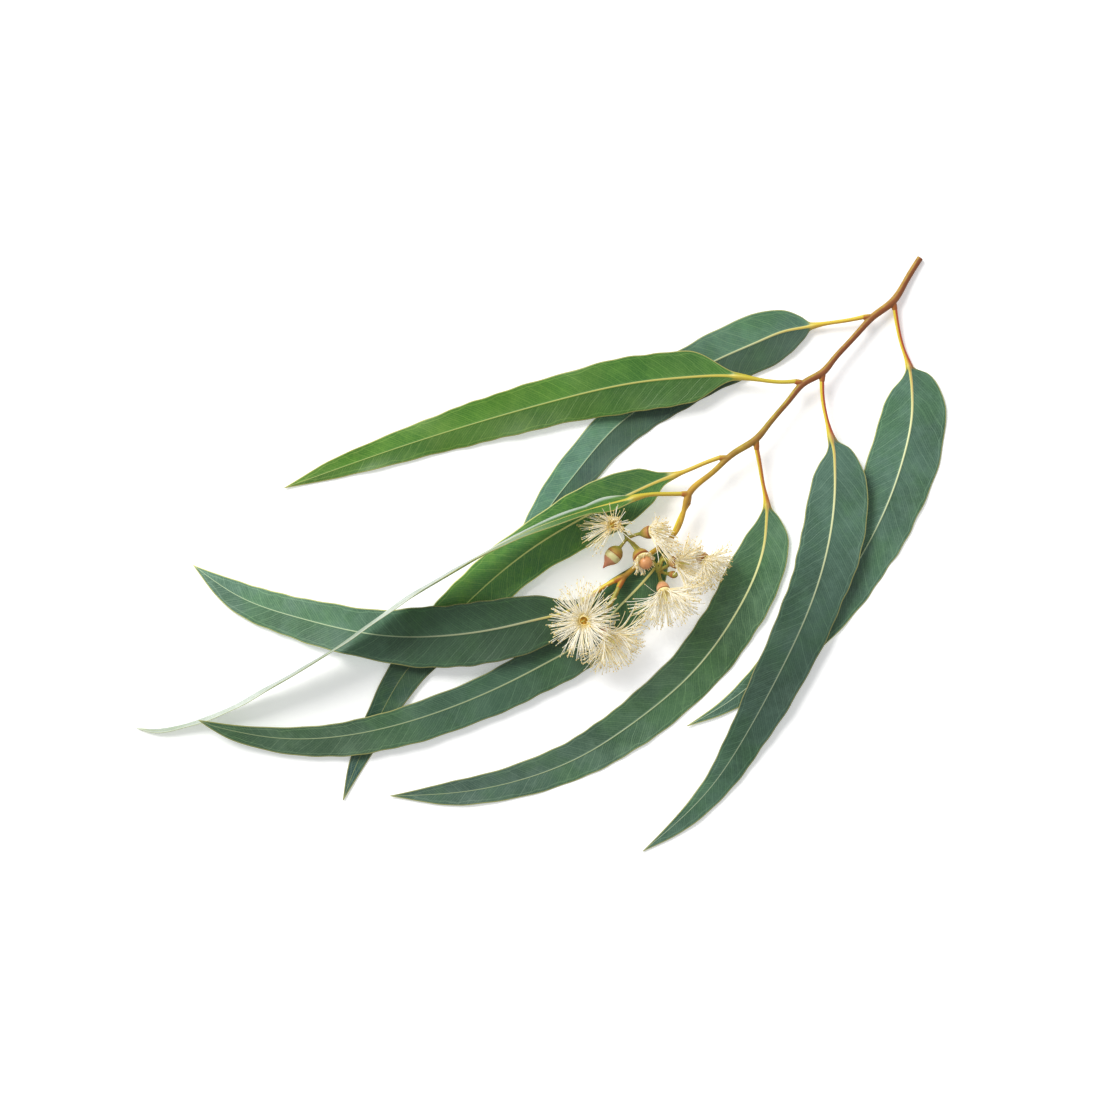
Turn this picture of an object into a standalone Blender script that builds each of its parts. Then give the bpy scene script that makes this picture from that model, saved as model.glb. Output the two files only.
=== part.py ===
"""Eucalyptus sprig lying on a surface: a cut twig, nine sickle leaves, three bunches of
brush flowers and two capped buds.

Lengths in the tables are millimetres and MM turns them into metres.
X runs along the longest side, Y across it and Z up. The table top is at z = 0.
"""

import math

import bpy
import numpy as np

# Driving sizes
MM = 0.001
BLADE_THICKNESS = 0.6
RIB_DEPTH = 0.28
EDGE_RISE = 0.035
LEAF_STATIONS = 27
FOOT_CROWDING = 1.3
JOINT_GAP = 0.3
TWIG_SIDES = 8
STALK_SIDES = 7
CUP_SIDES = 12
CUP_LENGTH = 4.0
CUP_RIM_RADIUS = 2.35
CUP_DISH_RADIUS = 1.7
CUP_DISH_DEPTH = 0.65
STAMEN_SECTORS = 10
STAMEN_CLEARANCE = 0.3
BUD_RADIUS = 3.0
OPENING_BUD_RADIUS = 3.2
SMALL_BUD_RADIUS = 1.35
CAP_RADIUS = 2.35
CAP_LIFT = 1.5
CAP_LEAN = (0.25, -0.2, 0.0)
CENTRE_SHIFT = (0.15, 0.06, 0.0)

# Leaf tables: x, y, height of the middle surface, half width on the left, half width on
# the right, from the foot of the stalk to the tip
LEAF_1 = [
    (123.2, 86.0, 2.6, 0.85, 0.85),
    (124.4, 79.0, 2.0, 0.75, 0.75),
    (126.2, 72.0, 1.4, 0.7, 0.7),
    (128.5, 65.1, 1.0, 1.6, 1.3),
    (128.9, 62.5, 0.9, 6.0, 2.7),
    (129.2, 60.2, 0.8, 8.1, 4.9),
    (129.4, 57.4, 0.7, 9.7, 7.4),
    (129.5, 50.4, 0.5, 12.0, 10.6),
    (126.7, 34.6, 0.3, 12.5, 11.8),
    (119.7, 14.7, 0.15, 11.4, 12.2),
    (110.2, -3.1, 0.15, 10.2, 12.0),
    (97.3, -21.7, 0.3, 8.6, 9.6),
    (79.8, -39.9, 0.45, 5.8, 5.0),
    (63.0, -53.2, 0.6, 3.0, 1.7),
    (50.7, -60.2, 0.9, 0.4, 0.4),
]
LEAF_2 = [
    (97.6, 60.8, 5.7, 0.85, 0.85),
    (97.8, 55.1, 5.5, 0.75, 0.75),
    (99.0, 48.1, 5.3, 0.7, 0.7),
    (101.2, 39.0, 5.1, 2.2, 1.4),
    (101.8, 35.9, 5.1, 6.0, 2.6),
    (102.1, 31.4, 5.05, 8.9, 5.6),
    (102.2, 25.8, 5.0, 11.0, 8.0),
    (100.8, 8.4, 4.8, 12.1, 10.0),
    (94.6, -15.4, 4.4, 10.2, 9.6),
    (83.1, -41.2, 3.8, 9.1, 8.6),
    (70.6, -64.3, 2.4, 7.2, 6.1),
    (59.1, -81.5, 1.2, 5.8, 3.5),
    (46.5, -94.5, 0.6, 3.7, 1.6),
    (35.3, -104.0, 0.5, 0.4, 0.4),
]
LEAF_3 = [
    (74.7, 37.0, 7.2, 0.85, 0.85),
    (76.0, 30.7, 5.6, 0.75, 0.75),
    (77.3, 23.7, 3.8, 0.7, 0.7),
    (78.6, 16.4, 2.4, 1.6, 1.4),
    (78.5, 12.9, 2.0, 4.6, 2.7),
    (77.9, 4.9, 1.3, 8.5, 7.2),
    (73.8, -9.1, 0.8, 9.5, 10.2),
    (67.5, -21.3, 0.5, 9.4, 9.9),
    (53.5, -40.6, 0.25, 8.8, 9.3),
    (34.3, -57.4, 0.15, 8.4, 8.1),
    (13.3, -71.0, 0.15, 7.1, 6.9),
    (-7.7, -79.1, 0.3, 5.9, 5.8),
    (-28.7, -83.3, 0.5, 4.7, 4.4),
    (-53.1, -84.6, 1.0, 0.4, 0.4),
]
LEAF_4 = [
    (112.7, 82.8, 4.2, 0.8, 0.8),
    (107.5, 81.7, 3.8, 0.7, 0.7),
    (100.6, 80.7, 3.2, 0.7, 0.7),
    (94.0, 79.6, 2.6, 1.2, 1.5),
    (91.2, 79.1, 2.3, 3.9, 4.0),
    (84.9, 77.9, 1.8, 8.1, 7.7),
    (76.2, 74.5, 1.2, 9.9, 9.8),
    (61.9, 68.2, 0.8, 10.0, 9.7),
    (41.3, 56.0, 0.35, 9.0, 8.6),
    (25.5, 44.1, 0.15, 8.0, 7.3),
    (10.5, 26.6, 0.15, 6.8, 6.9),
    (3.5, 17.5, 0.2, 6.3, 6.0),
    (-9.4, -5.6, 0.5, 4.0, 2.8),
    (-14.7, -15.0, 0.8, 0.4, 0.4),
]
LEAF_5 = [
    (88.8, 60.2, 6.8, 0.8, 0.8),
    (84.7, 59.9, 6.7, 0.7, 0.7),
    (77.7, 60.4, 6.4, 0.7, 0.7),
    (67.6, 61.9, 5.8, 1.5, 1.4),
    (51.6, 61.7, 4.9, 9.0, 9.2),
    (34.2, 60.0, 4.1, 10.2, 9.4),
    (6.3, 54.0, 2.7, 8.7, 8.6),
    (-21.7, 46.2, 1.4, 7.4, 7.6),
    (-49.7, 37.4, 0.7, 5.5, 5.6),
    (-70.7, 30.1, 0.5, 3.4, 4.0),
    (-90.2, 23.1, 0.8, 0.4, 0.4),
]
LEAF_6 = [
    (62.3, 33.7, 8.3, 0.8, 0.8),
    (56.8, 31.7, 8.1, 0.75, 0.75),
    (50.2, 28.9, 7.6, 0.75, 0.75),
    (42.5, 26.1, 7.0, 2.0, 2.6),
    (35.9, 23.3, 6.2, 6.4, 7.1),
    (20.3, 15.7, 4.6, 9.9, 9.9),
    (-0.7, 3.8, 3.3, 9.4, 8.7),
    (-21.7, -12.9, 2.3, 8.8, 8.4),
    (-39.1, -30.8, 1.6, 7.9, 7.1),
    (-49.7, -44.1, 1.1, 6.3, 5.7),
    (-57.4, -58.1, 0.7, 4.9, 4.6),
    (-65.1, -74.2, 0.45, 2.6, 2.7),
    (-69.6, -86.2, 0.7, 0.4, 0.4),
]
LEAF_7 = [
    (49.0, 20.9, 9.9, 0.8, 0.8),
    (42.8, 20.8, 10.7, 0.75, 0.75),
    (37.5, 20.6, 11.3, 0.75, 0.75),
    (32.0, 19.4, 12.0, 1.4, 1.4),
    (20.2, 16.3, 13.4, 5.6, 5.6),
    (6.3, 11.9, 14.8, 7.4, 7.4),
    (-10.8, 4.8, 16.0, 8.0, 8.0),
    (-31.4, -6.8, 16.8, 8.0, 8.0),
    (-48.7, -17.2, 16.4, 7.6, 7.6),
    (-73.1, -33.9, 13.4, 6.8, 6.8),
    (-94.3, -46.7, 8.6, 4.9, 4.9),
    (-112.0, -55.5, 3.9, 3.0, 3.0),
    (-126.4, -60.4, 2.0, 1.7, 1.7),
    (-135.3, -61.9, 1.2, 1.0, 1.0),
    (-141.7, -61.0, 0.7, 0.4, 0.4),
]
LEAF_8 = [
    (25.6, -9.1, 7.7, 0.85, 0.85),
    (22.0, -11.1, 7.8, 0.8, 0.8),
    (17.4, -14.3, 7.7, 0.8, 0.8),
    (11.2, -18.8, 7.4, 3.4, 3.2),
    (-0.7, -22.6, 7.0, 9.6, 8.4),
    (-14.6, -25.8, 6.6, 11.4, 10.3),
    (-35.5, -28.6, 6.0, 11.2, 10.6),
    (-56.5, -28.3, 4.9, 9.1, 9.0),
    (-84.5, -22.4, 2.5, 7.6, 7.2),
    (-105.6, -15.0, 1.0, 5.6, 5.3),
    (-122.0, -3.9, 0.7, 0.4, 0.4),
]
LEAF_9 = [
    (51.2, 17.9, 7.8, 0.8, 0.8),
    (48.8, 13.9, 6.6, 0.75, 0.75),
    (46.4, 8.4, 5.4, 0.75, 0.75),
    (43.4, 1.6, 4.6, 1.6, 1.7),
    (37.7, -7.0, 4.0, 6.3, 6.0),
    (27.2, -18.2, 3.6, 9.4, 9.2),
    (16.8, -28.6, 3.1, 9.2, 9.6),
    (2.8, -37.4, 2.8, 9.0, 8.2),
    (-11.2, -44.7, 2.8, 8.7, 6.6),
    (-39.1, -56.2, 3.0, 8.1, 5.9),
    (-67.1, -63.2, 2.8, 7.3, 4.9),
    (-95.0, -64.0, 2.9, 4.8, 3.6),
    (-107.3, -61.8, 4.3, 3.4, 2.2),
    (-114.2, -60.0, 5.6, 1.6, 1.4),
    (-119.6, -57.9, 6.8, 0.4, 0.4),
]

# Twig table: x, y, z of the middle line and the radius, from the cut end to the fork
TWIG = [
    (132.3, 103.6, 1.15, 1.1),
    (127.2, 95.4, 1.9, 1.1),
    (122.6, 88.3, 2.9, 1.35),
    (115.4, 82.7, 4.1, 1.25),
    (111.5, 78.6, 4.5, 1.1),
    (106.4, 73.0, 5.1, 1.05),
    (101.6, 67.7, 5.7, 1.1),
    (97.9, 63.4, 6.1, 1.3),
    (91.1, 59.4, 6.6, 1.2),
    (86.8, 54.5, 7.0, 1.05),
    (82.3, 49.2, 7.3, 1.0),
    (78.4, 44.5, 7.6, 1.05),
    (74.5, 40.0, 7.8, 1.25),
    (66.7, 35.0, 8.2, 1.15),
    (62.4, 31.2, 8.5, 1.0),
    (58.8, 27.9, 8.8, 0.95),
    (51.1, 20.8, 9.4, 1.15),
    (49.4, 15.3, 9.6, 0.85),
    (46.6, 7.6, 9.3, 0.8),
    (42.4, 3.5, 8.6, 0.8),
    (37.6, 0.0, 7.8, 0.85),
    (32.0, -4.9, 7.5, 0.85),
    (28.6, -7.9, 7.6, 1.0),
]

# Stalk feet on the umbels and the places their stalks run through: x, y, z, radius
UMBEL_A_STEM = [
    (36.4, -0.6, 9.6, 0.7),
    (34.0, 1.5, 9.7, 0.7),
    (30.8, 4.4, 10.3, 0.75),
    (29.7, 5.6, 11.0, 0.95),
]
UMBEL_B_STEM = [(38.2, -2.0, 7.9, 0.65), (39.4, -3.8, 8.7, 0.65), (40.5, -5.8, 9.4, 0.9)]
UMBEL_C_STEM = [(26.9, -11.1, 8.0, 0.85), (25.6, -14.0, 8.5, 0.8), (22.5, -19.6, 9.2, 0.95)]

# Flowers: bunch, middle of the cup's rim, direction that it faces, stamen length, opening
FLOWERS = {
    "stamens_1": ("A", (25.2, 10.3, 14.4), (-0.30, -0.15, 0.94), 7.4, 1.0),
    "stamens_2": ("A", (37.6, 7.6, 13.1), (0.86, 0.16, 0.38), 8.6, 0.68),
    "stamens_3": ("B", (46.9, -2.9, 12.3), (0.86, -0.16, 0.46), 9.4, 0.85),
    "stamens_4": ("B", (56.4, -2.0, 8.3), (0.72, -0.62, 0.31), 8.6, 0.62),
    "stamens_5": ("B", (42.2, -12.5, 12.3), (0.22, -0.78, 0.58), 11.0, 0.9),
    "stamens_6": ("C", (14.8, -23.0, 13.2), (-0.20, -0.08, 0.97), 9.2, 1.0),
    "stamens_7": ("C", (22.6, -28.0, 11.7), (0.52, -0.62, 0.58), 10.4, 0.9),
}

# Core of a stamen brush with its style: distance past the rim, radius
CORE_PROFILE = [
    (-0.35, 0.0),
    (-0.35, 1.3),
    (0.3, 1.35),
    (0.3, 2.2),
    (0.95, 2.05),
    (1.45, 1.35),
    (1.25, 0.4),
    (4.6, 0.22),
    (4.7, 0.0),
]

# Buds: where the cup starts, direction, length of the cup
POINTED_BUD = ((27.2, 2.4, 11.2), (-0.62, -0.76, 0.10), 3.4)
OPENING_BUD = ((32.9, 1.2, 12.4), (0.42, -0.62, 0.66), 4.2)
SMALL_BUD = ((43.9, -6.9, 10.0), (0.62, -0.10, 0.75), 3.0)


# Scene and materials
for old in list(bpy.data.objects):
    bpy.data.objects.remove(old, do_unlink=True)
bpy.context.scene.unit_settings.scale_length = 1.0


def material(name, colour, roughness):
    """A plain Principled material, with the colour given as linear numbers."""
    made = bpy.data.materials.new(name)
    made.use_nodes = True
    shader = made.node_tree.nodes["Principled BSDF"]
    shader.inputs["Base Color"].default_value = (*colour, 1.0)
    shader.inputs["Roughness"].default_value = roughness
    shader.inputs["Metallic"].default_value = 0.0
    return made


MATERIALS = {
    "leaf_teal": material("leaf_teal", (0.067, 0.165, 0.120), 0.45),
    "leaf_grey_blue": material("leaf_grey_blue", (0.130, 0.245, 0.225), 0.55),
    "leaf_bright": material("leaf_bright", (0.110, 0.250, 0.050), 0.45),
    "leaf_green": material("leaf_green", (0.052, 0.155, 0.040), 0.45),
    "twig": material("twig", (0.390, 0.260, 0.045), 0.55),
    "flower_cup": material("flower_cup", (0.330, 0.230, 0.060), 0.5),
    "stamens": material("stamens", (0.860, 0.800, 0.620), 0.7),
    "bud_cap": material("bud_cap", (0.560, 0.260, 0.120), 0.5),
}


# Curves through hand-set points
def chord_lengths(points):
    """Distance along the points, as a share of the whole."""
    steps = np.linalg.norm(np.diff(points, axis=0), axis=1)
    along = np.concatenate([[0.0], np.cumsum(steps)])
    return along / along[-1]


def smooth_curve(knots, values, at):
    """Natural cubic spline: the second derivatives come from one small linear system."""
    count = len(knots)
    gaps = np.diff(knots)
    system = np.eye(count)
    right = np.zeros((count, values.shape[1]))
    for i in range(1, count - 1):
        system[i, i - 1] = gaps[i - 1]
        system[i, i] = 2.0 * (gaps[i - 1] + gaps[i])
        system[i, i + 1] = gaps[i]
        rise = (values[i + 1] - values[i]) / gaps[i]
        before = (values[i] - values[i - 1]) / gaps[i - 1]
        right[i] = 6.0 * (rise - before)
    bend = np.linalg.solve(system, right)
    cell = np.clip(np.searchsorted(knots, at, side="right") - 1, 0, count - 2)
    width = gaps[cell][:, None]
    a = (knots[cell + 1] - at)[:, None] / width
    b = 1.0 - a
    curve = a * values[cell] + b * values[cell + 1]
    return curve + ((a**3 - a) * bend[cell] + (b**3 - b) * bend[cell + 1]) * width**2 / 6.0


def steady_curve(knots, values, at):
    """Cubic through the values that never swings past them, for widths and radii."""
    gaps = np.diff(knots)
    rise = np.diff(values) / gaps
    slope = np.zeros(len(values))
    same_way = rise[:-1] * rise[1:] > 0
    first = 2.0 * gaps[1:] + gaps[:-1]
    second = gaps[1:] + 2.0 * gaps[:-1]
    blend = (first + second) / (
        first / np.where(same_way, rise[:-1], 1.0) + second / np.where(same_way, rise[1:], 1.0)
    )
    slope[1:-1] = np.where(same_way, blend, 0.0)
    slope[0] = rise[0]
    slope[-1] = rise[-1]
    cell = np.clip(np.searchsorted(knots, at, side="right") - 1, 0, len(values) - 2)
    u = (at - knots[cell]) / gaps[cell]
    h = gaps[cell]
    return (
        (2 * u**3 - 3 * u**2 + 1) * values[cell]
        + (u**3 - 2 * u**2 + u) * h * slope[cell]
        + (3 * u**2 - 2 * u**3) * values[cell + 1]
        + (u**3 - u**2) * h * slope[cell + 1]
    )


def unit(vector):
    vector = np.asarray(vector, float)
    return vector / np.maximum(np.linalg.norm(vector, axis=-1, keepdims=True), 1e-12)


def turned(vectors, axis, angle):
    """Each vector turned about its own axis by its own angle, in radians."""
    cos = np.cos(angle)[:, None]
    sin = np.sin(angle)[:, None]
    along = np.sum(vectors * axis, axis=1, keepdims=True)
    return vectors * cos + np.cross(axis, vectors) * sin + axis * along * (1.0 - cos)


# Mesh pieces, each a list of points in millimetres and a list of faces
def ring_strip(rows, columns, start=0):
    """Quads between rings that follow one another."""
    faces = []
    for i in range(rows - 1):
        for j in range(columns):
            k = (j + 1) % columns
            low = start + i * columns
            high = low + columns
            faces.append((low + j, low + k, high + k, high + j))
    return faces


def leaf_mesh(table, roll=((0.0, 0.0), (1.0, 0.0)), wave=0.35, phase=0.0):
    """A round stalk that flattens into a thin blade with a raised midrib, as one loft.

    Each station is a closed ring of seven points on the upper face and seven below.
    """
    rows = np.array(table, float)
    knots = chord_lengths(rows[:, :3])
    blade_from = knots[3]
    near = np.linspace(0.0, blade_from, 6)[:-1]
    # Stations lie closer together at the round foot of the blade.
    far = blade_from + (1.0 - blade_from) * np.linspace(0.0, 1.0, LEAF_STATIONS - 5) ** FOOT_CROWDING
    t = np.concatenate([near, far])
    centre = smooth_curve(knots, rows[:, :3], t)
    left = steady_curve(knots, rows[:, 3], t)
    right = steady_curve(knots, rows[:, 4], t)
    tangent = unit(np.gradient(centre, axis=0))
    side = unit(np.cross(np.array([0.0, 0.0, 1.0]), tangent))
    up = np.cross(tangent, side)
    roll_t = [pair[0] for pair in roll]
    roll_angle = [pair[1] for pair in roll]
    angle = np.radians(np.interp(t, roll_t, roll_angle))
    side = turned(side, tangent, angle)
    up = turned(up, tangent, angle)

    stalk_radius = rows[1, 3]
    width = 0.5 * (left + right)
    flat = np.clip((width / stalk_radius - 1.25) / 1.6, 0.0, 1.0)
    flat = flat * flat * (3.0 - 2.0 * flat)
    flat = np.where(t > 0.6, 1.0, flat)
    share = np.clip((t - blade_from) / (1.0 - blade_from), 0.0, 1.0)
    rib_half = np.minimum(0.95 - 0.5 * share, 0.35 * width)
    rib_drop = RIB_DEPTH * (1.0 - 0.75 * share)

    steps = (-1.0, -0.6, -0.3, 0.0, 0.3, 0.6, 1.0)
    turns = np.radians([-80.0, -50.0, -24.0, 0.0, 24.0, 50.0, 80.0])
    across = np.zeros((len(t), 7))
    middle = np.zeros((len(t), 7))
    half = np.zeros((len(t), 7))
    for j, step in enumerate(steps):
        reach = left if step > 0 else right
        blade_x = step * reach
        if j in (2, 4):
            blade_x = np.sign(step) * rib_half
        if j in (1, 5):
            blade_x = step * np.maximum(reach, rib_half * 1.8)
        round_x = width * math.sin(turns[j])
        across[:, j] = flat * blade_x + (1.0 - flat) * round_x
        edge = abs(step) ** 2 if j not in (2, 3, 4) else 0.0
        swing = np.sin(6.0 * math.pi * share + phase + (1.3 if step > 0 else 0.0))
        fade = np.clip(share * 4.0, 0.0, 1.0) * np.clip((1.0 - share) * 5.0, 0.0, 1.0)
        middle[:, j] = flat * edge * (EDGE_RISE * reach + wave * swing * fade)
        blade_half = 0.5 * BLADE_THICKNESS + (rib_drop if j == 3 else 0.0)
        half[:, j] = flat * blade_half + (1.0 - flat) * width * math.cos(turns[j])

    def lay(heights):
        return (
            centre[:, None, :]
            + side[:, None, :] * across[:, :, None]
            + up[:, None, :] * heights[:, :, None]
        )

    top = lay(middle + half - 0.6 * flat[:, None] * (half - 0.5 * BLADE_THICKNESS))
    bottom = lay(middle - half)
    # The underside rests on the table, and the upper face rises with it.
    sunk = np.maximum(0.0, -np.minimum(bottom[:, :, 2], top[:, :, 2]))
    top[:, :, 2] += sunk
    bottom[:, :, 2] += sunk
    ring = np.concatenate([top, bottom[:, ::-1]], axis=1)
    count = ring.shape[1]
    faces = []
    for i in range(len(t) - 1):
        for j in range(count):
            k = (j + 1) % count
            a, b = i * count + j, i * count + k
            c, d = b + count, a + count
            # Both faces of the blade are cut along the same diagonal.
            if j < 7:
                faces += [(a, b, c), (a, c, d)]
            else:
                faces += [(a, b, d), (b, c, d)]
    for i, flip in ((0, True), (len(t) - 1, False)):
        for j in range(6):
            a, b = i * count + j, i * count + j + 1
            c, d = i * count + count - 2 - j, i * count + count - 1 - j
            quad = (a, b, c, d)
            faces.append(quad[::-1] if flip else quad)
    points = ring.reshape(-1, 3)
    return points, [face[::-1] for face in faces], 0.5 * (top + bottom), tangent[0]


def tube_mesh(table, sides, steps, last_way=None):
    """A round stem swept through the table's points, closed by flat ends."""
    rows = np.array(table, float)
    knots = chord_lengths(rows[:, :3])
    t = np.linspace(0.0, 1.0, steps)
    if len(rows) > 2:
        centre = smooth_curve(knots, rows[:, :3], t)
        radius = steady_curve(knots, rows[:, 3], t)
    else:
        centre = rows[0, :3] + (rows[1, :3] - rows[0, :3]) * t[:, None]
        radius = rows[0, 3] + (rows[1, 3] - rows[0, 3]) * t
    tangent = unit(np.gradient(centre, axis=0))
    if last_way is not None:
        tangent[-1] = last_way
    helper = (0.0, 0.0, 1.0) if abs(tangent[0][2]) < 0.9 else (1.0, 0.0, 0.0)
    first = unit(np.cross(tangent[0], helper))
    points = []
    for i in range(steps):
        first = unit(first - tangent[i] * np.dot(first, tangent[i]))
        second = np.cross(tangent[i], first)
        for j in range(sides):
            turn = 2.0 * math.pi * j / sides
            points.append(centre[i] + radius[i] * (math.cos(turn) * first + math.sin(turn) * second))
    faces = ring_strip(steps, sides)
    faces.append(tuple(range(sides))[::-1])
    faces.append(tuple((steps - 1) * sides + j for j in range(sides)))
    samples = np.column_stack([centre, radius])
    return np.array(points), faces, samples


def frame_of(axis):
    """Two directions square to the axis."""
    axis = unit(axis)
    helper = (0.0, 0.0, 1.0) if abs(axis[2]) < 0.8 else (0.0, 1.0, 0.0)
    first = unit(np.cross(axis, helper))
    return axis, first, np.cross(axis, first)


def lathe_mesh(base, axis, profile, sides):
    """A turned shape. The profile lists distance along the axis and radius, ends on it."""
    axis, first, second = frame_of(axis)
    base = np.asarray(base, float)
    points = []
    rings = []
    for along, radius in profile:
        if radius <= 0.0:
            rings.append([len(points)])
            points.append(base + axis * along)
            continue
        rings.append(list(range(len(points), len(points) + sides)))
        for j in range(sides):
            turn = 2.0 * math.pi * j / sides
            out = math.cos(turn) * first + math.sin(turn) * second
            points.append(base + axis * along + radius * out)
    faces = []
    for low, high in zip(rings[:-1], rings[1:]):
        for j in range(sides):
            k = (j + 1) % sides
            if len(low) == 1:
                faces.append((low[0], high[k], high[j]))
            elif len(high) == 1:
                faces.append((low[j], low[k], high[0]))
            else:
                faces.append((low[j], low[k], high[k], high[j]))
    reach = np.array([[*(base + axis * along), radius] for along, radius in profile])
    return np.array(points), faces, reach


def new_object(name, points, faces, slot=None):
    mesh = bpy.data.meshes.new(name)
    spots = (np.asarray(points, float) + np.array(CENTRE_SHIFT)) * MM
    mesh.from_pydata(spots.tolist(), [], [tuple(face) for face in faces])
    mesh.update()
    made = bpy.data.objects.new(name, mesh)
    bpy.context.scene.collection.objects.link(made)
    if slot:
        mesh.materials.append(MATERIALS[slot])
    return made


def fused_object(name, pieces, slot):
    """The pieces joined into one closed body."""
    body = new_object(name, pieces[0][0], pieces[0][1], slot)
    helpers = []
    for i, piece in enumerate(pieces[1:]):
        helper = new_object(f"{name}_piece_{i}", piece[0], piece[1])
        helper.hide_render = True
        helper.display_type = "WIRE"
        helpers.append(helper)
        joint = body.modifiers.new(f"join_{i}", "BOOLEAN")
        joint.operation = "UNION"
        joint.solver = "EXACT"
        joint.object = helper
    graph = bpy.context.evaluated_depsgraph_get()
    joined = bpy.data.meshes.new_from_object(body.evaluated_get(graph))
    body.modifiers.clear()
    body.data = joined
    joined.name = name
    joined.materials.clear()
    joined.materials.append(MATERIALS[slot])
    for helper in helpers:
        bpy.data.objects.remove(helper, do_unlink=True)
    return body


# Things that a stamen must keep clear of: rows of x, y, z, radius
taken = []


def fill_between(samples, spacing=0.5):
    """Extra samples on the line between each two, so that no gap is wider than the spacing."""
    rows = []
    for a, b in zip(samples[:-1], samples[1:]):
        count = max(1, int(np.linalg.norm(b[:3] - a[:3]) / spacing))
        for i in range(count):
            rows.append(a + (b - a) * i / count)
    rows.append(samples[-1])
    return np.array(rows)


def take_surface(surface, radius=0.75, spacing=1.1):
    """Samples over a leaf's middle surface, a grid of rows by seven columns."""
    for i in range(surface.shape[0] - 1):
        for j in range(surface.shape[1] - 1):
            a, b = surface[i, j], surface[i, j + 1]
            d, c = surface[i + 1, j], surface[i + 1, j + 1]
            length = max(np.linalg.norm(d - a), np.linalg.norm(c - b))
            width = max(np.linalg.norm(b - a), np.linalg.norm(c - d))
            rows = max(1, math.ceil(length / spacing))
            columns = max(1, math.ceil(width / spacing))
            u = np.linspace(0.0, 1.0, rows + 1)[:, None, None]
            v = np.linspace(0.0, 1.0, columns + 1)[None, :, None]
            patch = (1 - u) * ((1 - v) * a + v * b) + u * ((1 - v) * d + v * c)
            patch = patch.reshape(-1, 3)
            taken.append(np.column_stack([patch, np.full(len(patch), radius)]))


# Leaves
EDGE_ON = ((0.0, 0.0), (0.06, 20.0), (0.16, 74.0), (0.3, 83.0), (0.8, 83.0), (0.92, 70.0), (1.0, 30.0))
LEAVES = {
    "leaf_1": (LEAF_1, "leaf_teal", {"phase": 0.4}),
    "leaf_2": (LEAF_2, "leaf_teal", {"phase": 2.0}),
    "leaf_3": (LEAF_3, "leaf_teal", {"phase": 3.1}),
    "leaf_4": (LEAF_4, "leaf_grey_blue", {"phase": 1.0, "wave": 0.25}),
    "leaf_5": (LEAF_5, "leaf_bright", {"phase": 4.2, "wave": 0.5}),
    "leaf_6": (LEAF_6, "leaf_green", {"phase": 5.0}),
    "leaf_7": (LEAF_7, "leaf_bright", {"roll": EDGE_ON, "phase": 0.0, "wave": 0.4}),
    "leaf_8": (LEAF_8, "leaf_teal", {"phase": 2.6}),
    "leaf_9": (LEAF_9, "leaf_teal", {"phase": 0.9, "wave": 0.25}),
}
leaf_ways = {}
for leaf_name, (leaf_table, leaf_slot, settings) in LEAVES.items():
    leaf_points, leaf_faces, leaf_surface, leaf_ways[leaf_name] = leaf_mesh(leaf_table, **settings)
    new_object(leaf_name, leaf_points, leaf_faces, leaf_slot)
    take_surface(leaf_surface)


# Twig with its swollen nodes and the short cushions that the leaves and bunches stand on
def cushion(foot, way, spot, radius_base, radius_end):
    """A short stub from the twig's middle line to just short of a stalk's flat foot."""
    way = unit(way)
    end = np.array(foot[:3], float) - way * JOINT_GAP
    rows = [(*spot, radius_base), (*end, radius_end)]
    return tube_mesh(rows, STALK_SIDES, 2, last_way=way)


def twig_spot(index, share=0.0):
    """A place on the twig's middle line, between two rows of its table."""
    a, b = np.array(TWIG[index][:3]), np.array(TWIG[index + 1][:3])
    return a + (b - a) * share


twig_tube = tube_mesh(TWIG, TWIG_SIDES, 40)
stem_tubes = {
    "umbel_a": tube_mesh(UMBEL_A_STEM, STALK_SIDES, 7),
    "umbel_b": tube_mesh(UMBEL_B_STEM, STALK_SIDES, 6),
    "umbel_c": tube_mesh(UMBEL_C_STEM, STALK_SIDES, 6),
}


def stem_way(name):
    line = stem_tubes[name][2]
    return line[1, :3] - line[0, :3]


cushions = [
    cushion(LEAF_1[0], leaf_ways["leaf_1"], twig_spot(2), 1.1, 1.0),
    cushion(LEAF_2[0], leaf_ways["leaf_2"], twig_spot(7), 1.1, 1.0),
    cushion(LEAF_3[0], leaf_ways["leaf_3"], twig_spot(12), 1.1, 1.0),
    cushion(LEAF_4[0], leaf_ways["leaf_4"], twig_spot(3), 1.0, 0.95),
    cushion(LEAF_5[0], leaf_ways["leaf_5"], twig_spot(8), 1.0, 0.95),
    cushion(LEAF_6[0], leaf_ways["leaf_6"], twig_spot(13, 0.45), 1.0, 0.95),
    cushion(LEAF_7[0], leaf_ways["leaf_7"], twig_spot(16), 1.0, 0.95),
    cushion(LEAF_8[0], leaf_ways["leaf_8"], twig_spot(21, 0.96), 0.9, 0.9),
    cushion(LEAF_9[0], leaf_ways["leaf_9"], twig_spot(16), 0.9, 0.85),
    cushion(UMBEL_A_STEM[0], stem_way("umbel_a"), (37.4, -0.2, 7.8), 0.7, 0.75),
    cushion(UMBEL_B_STEM[0], stem_way("umbel_b"), (37.2, -0.3, 7.7), 0.7, 0.7),
    cushion(UMBEL_C_STEM[0], stem_way("umbel_c"), twig_spot(21, 0.96), 0.9, 0.9),
]
scar = tube_mesh([(50.9, 20.6, 9.4, 0.8), (49.7, 18.6, 8.9, 0.55)], STALK_SIDES, 2)
fused_object("twig", [twig_tube, *cushions, scar], "twig")
taken.append(fill_between(twig_tube[2]))


# Bunches: a stem, the flower stalks, the cups and the cups of the buds
def flower_base(name):
    rim, axis = FLOWERS[name][1], unit(FLOWERS[name][2])
    return np.array(rim) - axis * CUP_LENGTH


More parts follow.
